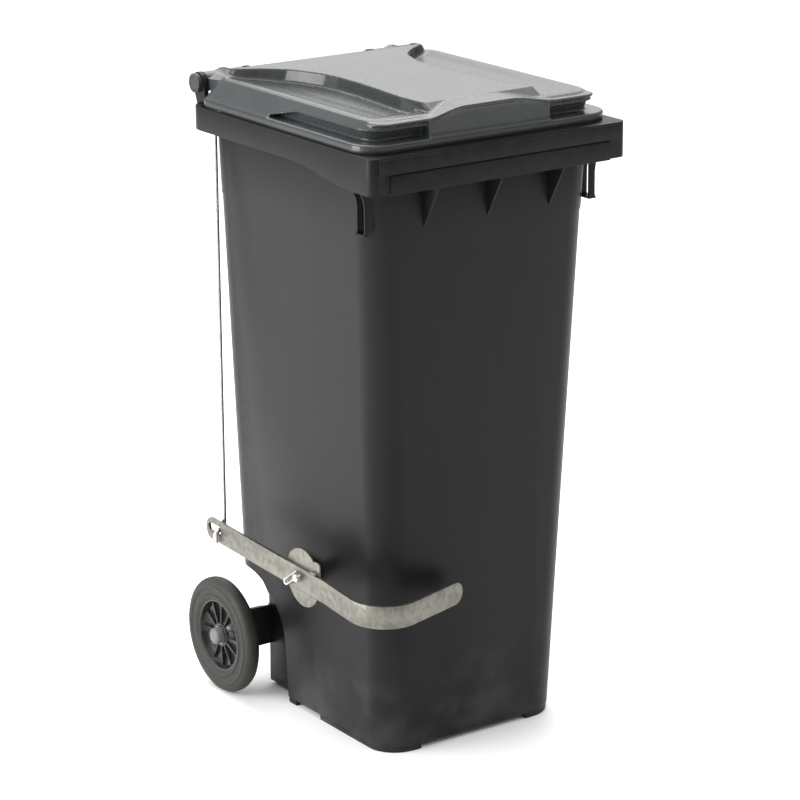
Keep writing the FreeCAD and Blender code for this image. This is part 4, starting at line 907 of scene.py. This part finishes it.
hinge_plastic = moulded_plastic("hinge_plastic_finish", (0.022, 0.023, 0.024), 0.42, 0.4, 0.5, 0.4)
knuckle = knuckle_right()
pin = pin_right()
knuckle_twin = copy_of(knuckle, "lid_knuckle_left")
mirror_over(knuckle_twin)
pin_twin = copy_of(pin, "hinge_cap_left")
mirror_over(pin_twin)
knuckle.name = "lid_knuckle_right"
pin.name = "hinge_cap_right"
for piece in (knuckle, knuckle_twin):
    finish_with(piece, lid_plastic)
    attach(piece, "lid")
for piece, node in ((pin, "hinge_pin_right"), (pin_twin, "hinge_pin_left")):
    finish_with(piece, hinge_plastic)
    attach(piece, "container")
    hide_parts(node)

# ---- wheels ----------------------------------------------------------------------------------
# A solid rubber tyre with fine ridges on its sidewall sits on a glossy black moulded wheel: a deep
# ring, a dished web, twelve thin spokes and a round hub.
WHEEL_R = 98.0
TYRE_IN, TYRE_OUT = 212.0, 242.0
SEAT_R = 60.76
RING_IN, RING_OUT = 216.0, 238.0
WEB_IN, WEB_OUT = 223.0, 226.0
HUB_R, HUB_IN, HUB_OUT = 21.0, 191.3, 234.0
SPOKES = 12


def turned(name, profile, steps):
    """Ring turned about the axle from its half section, given as x and radius."""
    bpy.ops.object.select_all(action="DESELECT")
    bpy.ops.mesh.primitive_plane_add(size=MM, location=(0.0, 0.0, 0.0))
    piece = bpy.context.object
    piece.name = name
    bpy.ops.object.mode_set(mode="EDIT")
    bpy.ops.mesh.select_mode(type="VERT")
    bpy.ops.mesh.select_all(action="SELECT")
    bpy.ops.mesh.merge(type="CENTER")
    x, r = profile[0]
    bpy.ops.transform.translate(value=at(x, AXLE_Y, AXLE_Z + r))
    for (x0, r0), (x1, r1) in zip(profile, profile[1:] + profile[:1]):
        bpy.ops.mesh.extrude_vertices_move(
            TRANSFORM_OT_translate={"value": ((x1 - x0) * MM, 0.0, (r1 - r0) * MM)})
    bpy.ops.mesh.select_all(action="SELECT")
    bpy.ops.mesh.remove_doubles(threshold=0.01 * MM)
    bpy.ops.mesh.spin(steps=steps, angle=math.tau, center=at(0.0, AXLE_Y, AXLE_Z), axis=(1.0, 0.0, 0.0))
    bpy.ops.mesh.select_all(action="SELECT")
    bpy.ops.mesh.remove_doubles(threshold=0.01 * MM)
    bpy.ops.mesh.normals_make_consistent(inside=False)
    set_down()
    bpy.ops.object.shade_smooth_by_angle(angle=math.radians(30.0))
    return piece


def tyre_right():
    """Outline with two proud ridges and a shallow hollow on each sidewall."""
    outer = [(TYRE_OUT - 4.0, SEAT_R), (TYRE_OUT - 2.0, 63.0), (TYRE_OUT - 1.0, 65.5), (TYRE_OUT - 0.2, 67.5),
             (TYRE_OUT - 0.2, 69.5), (TYRE_OUT - 1.6, 70.8), (TYRE_OUT - 2.0, 74.5), (TYRE_OUT - 1.8, 78.5),
             (TYRE_OUT - 0.6, 80.0), (TYRE_OUT, 81.2), (TYRE_OUT, 84.4), (TYRE_OUT - 0.6, 86.0),
             (TYRE_OUT - 1.6, 86.8), (TYRE_OUT - 1.8, 88.8), (TYRE_OUT - 3.0, 92.0), (TYRE_OUT - 5.2, 95.0),
             (TYRE_OUT - 8.2, 96.8), (TYRE_OUT - 11.5, 97.7), (TYRE_OUT - 15.0, WHEEL_R - 0.05)]
    middle = (TYRE_IN + TYRE_OUT) / 2.0
    inner = [(2.0 * middle - x, r) for x, r in reversed(outer[:-1])]
    return turned("tyre", outer + inner, 128)


def wheel_right():
    ring = [(RING_OUT, SEAT_R - 0.05), (RING_OUT, 58.4), (RING_OUT - 0.9, 57.5), (RING_OUT - 3.0, 56.8),
            (RING_OUT - 7.0, 55.6), (WEB_OUT + 2.6, 54.4), (WEB_OUT + 0.7, 53.0), (WEB_OUT, 51.0),
            (WEB_OUT - 0.6, 40.0), (WEB_OUT - 0.2, 30.0), (WEB_OUT + 1.4, 24.0), (WEB_OUT + 4.0, HUB_R),
            (HUB_OUT - 1.2, HUB_R - 0.6), (HUB_OUT, HUB_R - 1.8), (HUB_OUT, 12.0), (HUB_OUT - 1.0, 10.05),
            (HUB_IN, 10.05), (HUB_IN, HUB_R), (WEB_IN - 4.0, HUB_R), (WEB_IN - 1.0, 25.0), (WEB_IN, 30.0),
            (WEB_IN, 50.0), (WEB_IN - 2.0, 53.5), (RING_IN + 3.0, 55.6), (RING_IN, 57.2), (RING_IN, SEAT_R - 0.05)]
    wheel = turned("wheel", ring, 96)
    spokes = []
    for index in range(SPOKES):
        spoke = block("spoke", (WEB_OUT - 2.0, AXLE_Y - 1.5, AXLE_Z + HUB_R - 3.0),
                      (WEB_OUT + 7.0, AXLE_Y + 1.5, AXLE_Z + 55.6))
        choose(spoke, "VERT", lambda v: v.z > AXLE_Z + 50.0 and v.x > WEB_OUT)
        shift(-2.0, 0.0, 0.0)
        set_down()
        round_edges(spoke, lambda a, b: min(a.x, b.x) > WEB_OUT + 3.0, 1.1, 3)
        choose(spoke, "FACE", lambda c, n: True)
        bpy.ops.transform.rotate(value=math.tau * index / SPOKES, orient_axis="X",
                                 center_override=at(0.0, AXLE_Y, AXLE_Z))
        set_down()
        spokes.append(spoke)
    take_up(wheel)
    for spoke in spokes:
        spoke.select_set(True)
    bpy.ops.object.join()
    bpy.ops.object.shade_smooth_by_angle(angle=math.radians(30.0))
    return wheel


def tyre_rubber():
    """Solid rubber: dull, browned by road dust, with a scuffed tread."""
    finish, shader, place = new_finish("tyre_rubber_finish")
    clouds = place.noise(16.0, 5.0)
    dust = place.noise(45.0, 6.0).between(0.38, 0.70)
    chips = place.noise(210.0, 4.0).between(0.62, 0.72)
    body = (clouds * 0.5 + dust * 0.5).blend((0.014, 0.0135, 0.0115, 1.0), (0.036, 0.034, 0.027, 1.0))
    body = (chips * 0.5).blend(body, (0.07, 0.066, 0.055, 1.0))
    height = place.noise(800.0, 3.0) * 0.4 + chips * -0.8 + place.noise(60.0, 3.0) * 0.6
    relief = height.node("ShaderNodeBump", {}, {"Height": height, "Strength": 0.5, "Distance": 0.0003})
    rough = 0.56 + (clouds - 0.5) * 0.2 + dust * 0.12
    set_shader(shader, place, Base_Color=body, Roughness=rough, Normal=relief, Specular_IOR_Level=0.35)
    return finish


rubber = tyre_rubber()
wheel_plastic = moulded_plastic("wheel_plastic_finish", (0.013, 0.013, 0.014), 0.20, 0.12, 0.5, 0.5, 0.10)
tyre = tyre_right()
tyre_twin = copy_of(tyre, "wheel_tyre_left")
mirror_over(tyre_twin)
tyre.name = "wheel_tyre_right"
wheel = wheel_right()
wheel_twin = copy_of(wheel, "wheel_disc_left")
mirror_over(wheel_twin)
wheel.name = "wheel_disc_right"
for piece, side in ((tyre, "right"), (tyre_twin, "left")):
    finish_with(piece, rubber)
    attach(piece, "wheel_" + side)
    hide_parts("tyre_" + side)
for piece, side in ((wheel, "right"), (wheel_twin, "left")):
    finish_with(piece, wheel_plastic)
    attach(piece, "wheel_" + side)
    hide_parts("wheel_rim_" + side)

# ---- hub caps --------------------------------------------------------------------------------
# A round moulded cap in mid grey, softly domed with a shallow ring round its face, is pushed over
# each end of the axle.
HUB_CAP_R, HUB_CAP_IN, HUB_CAP_OUT = 14.0, 236.6, 248.0

hub_cap = turned("hub_cap", [(HUB_CAP_IN, HUB_CAP_R), (HUB_CAP_OUT - 4.0, HUB_CAP_R),
                             (HUB_CAP_OUT - 2.2, 13.2),
                             (HUB_CAP_OUT - 0.8, 11.6), (HUB_CAP_OUT - 0.5, 10.2), (HUB_CAP_OUT - 1.1, 9.4),
                             (HUB_CAP_OUT - 0.5, 8.6), (HUB_CAP_OUT - 0.1, 5.0), (HUB_CAP_OUT, 0.3),
                             (HUB_CAP_OUT - 2.0, 0.3), (HUB_CAP_OUT - 2.0, 10.05), (HUB_CAP_IN, 10.05)], 64)
choose(hub_cap, "VERT", lambda v: math.hypot(v.y - AXLE_Y, v.z - AXLE_Z) < 0.5)
bpy.ops.mesh.remove_doubles(threshold=0.7 * MM)
set_down()
cap_plastic = moulded_plastic("cap_plastic_finish", (0.11, 0.11, 0.115), 0.45, 0.4, 0.5, 0.3)
hub_cap_twin = copy_of(hub_cap, "hub_cap_cover_left")
mirror_over(hub_cap_twin)
hub_cap.name = "hub_cap_cover_right"
for piece, side in ((hub_cap, "right"), (hub_cap_twin, "left")):
    finish_with(piece, cap_plastic)
    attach(piece, "container")
    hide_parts("hub_cap_" + side)

# ---- pedal lever -----------------------------------------------------------------------------
# One flat steel bar: along the side, out a little ahead of the pivot, then round a bend to the foot
# bar in front.  A round lobe hangs at the pivot, and a long hole near the rear end takes the rod.
PIVOT_Y, PIVOT_Z = 217.0, 277.0
LEVER_X, LEVER_THICK = 235.5, 5.0
LEVER_LOW, LEVER_TOP = 256.0, 293.0
LEVER_REAR = 497.69
LEVER_PATH = ((-LEVER_X, LEVER_REAR), (-LEVER_X, 147.0), (-247.20, -20.26), (-51.0, 36.0))
BEND_RADII = (60.0, 58.0)
LOBE_Y, LOBE_R, LOBE_BLEND = 205.0, 45.0, 7.0
SLOT_Y = (459.65, 484.19)
SLOT_HALF = 7.2
LEVER_TILT = 2.0


def bend_stations(path, radii, steps):
    """Places and headings along a line with round bends, seen from above."""
    headings = [math.atan2(b[1] - a[1], b[0] - a[0]) for a, b in zip(path, path[1:])]
    stations = []
    for index, radius in enumerate(radii):
        before, after = headings[index], headings[index + 1]
        turn = (after - before + math.pi) % math.tau - math.pi
        side = 1.0 if turn > 0.0 else -1.0
        reach = radius * math.tan(abs(turn) / 2.0)
        corner = path[index + 1]
        start = (corner[0] - math.cos(before) * reach, corner[1] - math.sin(before) * reach)
        centre = (start[0] - math.sin(before) * radius * side, start[1] + math.cos(before) * radius * side)
        for step in range(steps[index] + 1):
            heading = before + turn * step / steps[index]
            place = (centre[0] + math.sin(heading) * radius * side,
                     centre[1] - math.cos(heading) * radius * side)
            stations.append((place, heading))
    stations.append((path[-1], headings[-1]))
    return stations


def plate(name, outline, x0, x1):
    """Flat plate between two x places, from its outline in y and z."""
    bpy.ops.object.select_all(action="DESELECT")
    bpy.ops.mesh.primitive_plane_add(size=MM, location=(0.0, 0.0, 0.0))
    piece = bpy.context.object
    piece.name = name
    bpy.ops.object.mode_set(mode="EDIT")
    bpy.ops.mesh.select_mode(type="VERT")
    bpy.ops.mesh.select_all(action="SELECT")
    bpy.ops.mesh.merge(type="CENTER")
    y, z = outline[0]
    bpy.ops.transform.translate(value=at(x0, y, z))
    for (y0, z0), (y1, z1) in zip(outline, outline[1:] + outline[:1]):
        bpy.ops.mesh.extrude_vertices_move(
            TRANSFORM_OT_translate={"value": (0.0, (y1 - y0) * MM, (z1 - z0) * MM)})
    bpy.ops.mesh.select_all(action="SELECT")
    bpy.ops.mesh.remove_doubles(threshold=0.01 * MM)
    bpy.ops.mesh.edge_face_add()
    bpy.ops.mesh.select_all(action="SELECT")
    bpy.ops.mesh.extrude_region_move(TRANSFORM_OT_translate={"value": ((x1 - x0) * MM, 0.0, 0.0)})
    bpy.ops.mesh.select_all(action="SELECT")
    bpy.ops.mesh.normals_make_consistent(inside=False)
    set_down()
    return piece


def arc(centre, radius, start, end, steps):
    """Places along part of a circle in y and z, angles in degrees from +y toward +z."""
    angles = [math.radians(start + (end - start) * step / steps) for step in range(steps + 1)]
    return [(centre[0] + radius * math.cos(a), centre[1] + radius * math.sin(a)) for a in angles]


def lever_bar():
    half = LEVER_THICK / 2.0
    stations = bend_stations(LEVER_PATH, BEND_RADII, (4, 22))
    first_y = stations[0][0][1]
    piece = block("pedal_lever", (-LEVER_X - half, first_y, LEVER_LOW), (-LEVER_X + half, LEVER_REAR, LEVER_TOP))
    choose(piece, "FACE", lambda c, n: n.y < -0.9)
    place, heading = stations[0]
    for (x, y), turned_to in stations[1:]:
        bpy.ops.mesh.extrude_region_move(
            TRANSFORM_OT_translate={"value": ((x - place[0]) * MM, (y - place[1]) * MM, 0.0)})
        if abs(turned_to - heading) > 0.0001:
            bpy.ops.transform.rotate(value=heading - turned_to, orient_axis="Z",
                                     center_override=at(x, y, PIVOT_Z))
        place, heading = (x, y), turned_to
    set_down()
    tip_x, tip_y = LEVER_PATH[-1]
    round_edges(piece, lambda a, b: abs(a.z - b.z) < 0.1 and math.hypot(a.x - tip_x, a.y - tip_y) < 3.0
                and math.hypot(b.x - tip_x, b.y - tip_y) < 3.0, 18.1, 14)
    round_edges(piece, lambda a, b: abs(a.z - b.z) < 0.1 and min(a.y, b.y) > LEVER_REAR - 0.5, 16.0, 12)
    return piece


def lever_lobe():
    """Outline of the lobe with a small round in each corner where it meets the bar."""
    drop = PIVOT_Z - LEVER_LOW + LOBE_BLEND
    aside = math.sqrt((LOBE_R + LOBE_BLEND) ** 2 - drop ** 2)
    lean = math.degrees(math.asin(drop / (LOBE_R + LOBE_BLEND)))
    front, back = (LOBE_Y - aside, PIVOT_Z - drop), (LOBE_Y + aside, PIVOT_Z - drop)
    outline = [(front[0], LEVER_LOW + 2.0)]
    outline += arc(front, LOBE_BLEND, 90.0, lean, 6)
    outline += arc((LOBE_Y, PIVOT_Z), LOBE_R, -180.0 + lean, -lean, 40)[1:-1]
    outline += arc(back, LOBE_BLEND, 180.0 - lean, 90.0, 6)
    outline += [(back[0], LEVER_LOW + 2.0)]
    return plate("lobe", outline, -LEVER_X - LEVER_THICK / 2.0, -LEVER_X + LEVER_THICK / 2.0)


def worn_steel(name, dark, light, rough, brown, metal=0.9):
    """Galvanised or bright steel: soft spangle, streaks along the bar, scratches and a brown tinge."""
    finish, shader, place = new_finish(name)
    spangle = place.node("ShaderNodeTexVoronoi", {"feature": "F1"}, {"Vector": place, "Scale": 110.0}, out=1)
    facets = spangle.node("ShaderNodeSeparateColor", {}, {"Color": spangle})
    clouds = place.noise(17.0, 5.0)
    streaks = place.noise(60.0, 4.0, (1.0, 0.08, 1.0))
    marks = (scratch_lines(place, (0.3, 0.1, 1.4), 120.0, 0.55)
             + scratch_lines(place, (1.2, 0.0, 0.2), 80.0, 0.5))
    tone = (clouds * 0.4 + streaks * 0.4 + facets * 0.2).between(0.25, 0.75)
    body = tone.blend(dark + (1.0,), light + (1.0,))
    rust = place.noise(55.0, 7.0).between(0.52, 0.74) * brown
    body = rust.blend(body, (0.17, 0.125, 0.08, 1.0))
    body = (marks * 0.4).blend(body, tuple(min(1.0, 1.5 * c) for c in light) + (1.0,))
    height = streaks * 0.8 + place.noise(500.0, 3.0) * 0.5 + marks * -0.9 + rust * 0.8
    relief = height.node("ShaderNodeBump", {}, {"Height": height, "Strength": 0.35, "Distance": 0.0002})
    coarse = rough + (clouds - 0.5) * 0.22 + (streaks - 0.5) * 0.16 + rust * 0.25 + marks * -0.08
    set_shader(shader, place, Base_Color=body, Roughness=coarse, Normal=relief, Metallic=metal - rust * 0.6)
    return finish


lever = lever_bar()
combine(lever, lever_lobe(), "UNION")
hole = bar("pivot_hole", (-LEVER_X - 9.0, PIVOT_Y, PIVOT_Z), (-LEVER_X + 9.0, PIVOT_Y, PIVOT_Z), 7.05)
combine(lever, hole, "DIFFERENCE")
slot_ends = (arc((SLOT_Y[0], PIVOT_Z), SLOT_HALF, 90.0, 270.0, 16)
             + arc((SLOT_Y[1], PIVOT_Z), SLOT_HALF, -90.0, 90.0, 16))
combine(lever, plate("long_hole", slot_ends, -LEVER_X - 9.0, -LEVER_X + 9.0), "DIFFERENCE")
soften(lever, 0.7, 2)
choose(lever, "FACE", lambda c, n: True)
bpy.ops.transform.rotate(value=-math.radians(LEVER_TILT), orient_axis="X",
                         center_override=at(-LEVER_X, PIVOT_Y, PIVOT_Z))
set_down()
pedal_steel = worn_steel("pedal_steel_finish", (0.135, 0.13, 0.112), (0.25, 0.243, 0.21), 0.42, 0.12)
finish_with(lever, pedal_steel)
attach(lever, "lever")
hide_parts("pedal_lever")
lever.name = "pedal_bar"

# ---- pedal bracket ---------------------------------------------------------------------------
# Welded from plate: a small foot bolted to the side wall, a stem out to the round plate behind the
# lever with a collar for the pin, and a stop with a lip over the lever's upper edge.
DISC_X, DISC_R, DISC_THICK = -232.0, 46.0, 3.0
FOOT_WIDE, FOOT_HIGH, FOOT_THICK = 66.0, 42.0, 4.0
BOLT_Y, BOLT_Z = 40.0, 22.0

disc = bar("pedal_bracket", (DISC_X, PIVOT_Y, PIVOT_Z), (DISC_X + DISC_THICK, PIVOT_Y, PIVOT_Z), DISC_R, 96)
foot = block("foot", (-PAD_X - FOOT_THICK, FOOT_Y - FOOT_WIDE / 2.0, FOOT_Z - FOOT_HIGH / 2.0),
             (-PAD_X, FOOT_Y + FOOT_WIDE / 2.0, FOOT_Z + FOOT_HIGH / 2.0))
round_edges(foot, lambda a, b: abs(a.x - b.x) > 3.0, 8.0, 6)
for dy in (-0.5, 0.5):
    for dz in (-0.5, 0.5):
        y, z = FOOT_Y + dy * BOLT_Y, FOOT_Z + dz * BOLT_Z
        combine(foot, bar("bolt_hole", (-PAD_X - 9.0, y, z), (-PAD_X + 5.0, y, z), 3.3, 32), "DIFFERENCE")
stem = block("stem", (DISC_X + DISC_THICK - 1.0, PIVOT_Y + 34.0, FOOT_Z - 13.0),
             (-PAD_X - 1.0, PIVOT_Y + 38.0, FOOT_Z + 13.0))
collar = bar("collar", (DISC_X + 1.0, PIVOT_Y, PIVOT_Z), (DISC_X + DISC_THICK + 14.0, PIVOT_Y, PIVOT_Z), 14.0)
stop = block("stop_arm", (DISC_X, PIVOT_Y - 50.0, PIVOT_Z + 4.0),
             (DISC_X + DISC_THICK, PIVOT_Y - 32.0, PIVOT_Z + 34.6))
round_edges(stop, lambda a, b: abs(a.x - b.x) > 2.0 and min(a.z, b.z) > PIVOT_Z + 28.0, 5.0, 5)
lip = block("stop_lip", (-241.0, PIVOT_Y - 50.0, PIVOT_Z + 17.6),
            (DISC_X + 1.0, PIVOT_Y - 36.0, PIVOT_Z + 20.6))
for part in (foot, stem, collar, stop, lip):
    combine(disc, part, "UNION")
hole = bar("pin_bore", (DISC_X - 5.0, PIVOT_Y, PIVOT_Z), (DISC_X + 25.0, PIVOT_Y, PIVOT_Z), 7.05)
combine(disc, hole, "DIFFERENCE")
soften(disc, 0.8, 3)
finish_with(disc, pedal_steel)
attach(disc, "container")
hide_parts("pedal_bracket")
disc.name = "bracket_weldment"

# ---- tie rod ---------------------------------------------------------------------------------
# Round bright steel rod: its foot passes through the long hole in the lever and turns down outside
# it, and its top turns in under the rim to the lid's push bracket.
ROD_X, ROD_Y, ROD_R = -226.0, 461.0, 4.0
ROD_LOW, ROD_HIGH = 285.52, 971.69
TAIL_X, TAIL_LONG = -243.2, 20.0
HOOK_END = -214.0


def rod_piece():
    """Disc drawn out along the rod's line, which bends in one upright plane."""
    path = ((TAIL_X, ROD_LOW - TAIL_LONG), (TAIL_X, ROD_LOW), (ROD_X, ROD_LOW), (ROD_X, ROD_HIGH),
            (HOOK_END, ROD_HIGH))
    stations = bend_stations(path, (8.0, 8.0, 7.0), (8, 8, 8))
    (x, z), heading = stations[0]
    piece = bar("tie_rod", (TAIL_X, ROD_Y, ROD_LOW - TAIL_LONG), (x, ROD_Y, z), ROD_R, 24)
    choose(piece, "FACE", lambda c, n: n.z > 0.9)
    for (x1, z1), turned_to in stations[1:]:
        step = ((x1 - x) * MM, 0.0, (z1 - z) * MM)
        bpy.ops.mesh.extrude_region_move(TRANSFORM_OT_translate={"value": step})
        if abs(turned_to - heading) > 0.0001:
            bpy.ops.transform.rotate(value=turned_to - heading, orient_axis="Y",
                                     center_override=at(x1, ROD_Y, z1))
        x, z, heading = x1, z1, turned_to
    set_down()
    round_edges(piece, lambda a, b: max(a.z, b.z) < ROD_LOW - TAIL_LONG + 0.1, 1.0, 3)
    take_up(piece)
    bpy.ops.object.shade_smooth_by_angle(angle=math.radians(34.0))
    return piece


rod = rod_piece()
bright_steel = worn_steel("bright_steel_finish", (0.50, 0.48, 0.45), (0.78, 0.76, 0.73), 0.24, 0.18, 0.97)
finish_with(rod, bright_steel)
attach(rod, "rod")
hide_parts("tie_rod")
rod.name = "lifting_rod"

# ---- hardware --------------------------------------------------------------------------------
# Axle, washers, bolts, nuts, pins and the lid's push bracket keep their own shapes; they are zinc
# plated, but for the pivot's pin and clip, which are bright.
zinc_steel = worn_steel("zinc_steel_finish", (0.26, 0.26, 0.25), (0.48, 0.48, 0.46), 0.36, 0.2)
for name in ("axle", "axle_washer_right", "axle_washer_left", "wheel_clip_right", "wheel_clip_left",
             "bracket_backing_plate", "bracket_bolts", "bracket_nuts", "pivot_washer", "lid_push_bracket",
             "lid_bracket_screws", "lid_bracket_nuts"):
    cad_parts[name].material_slots[0].material = zinc_steel
for name in ("pivot_pin", "pivot_clip"):
    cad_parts[name].material_slots[0].material = bright_steel
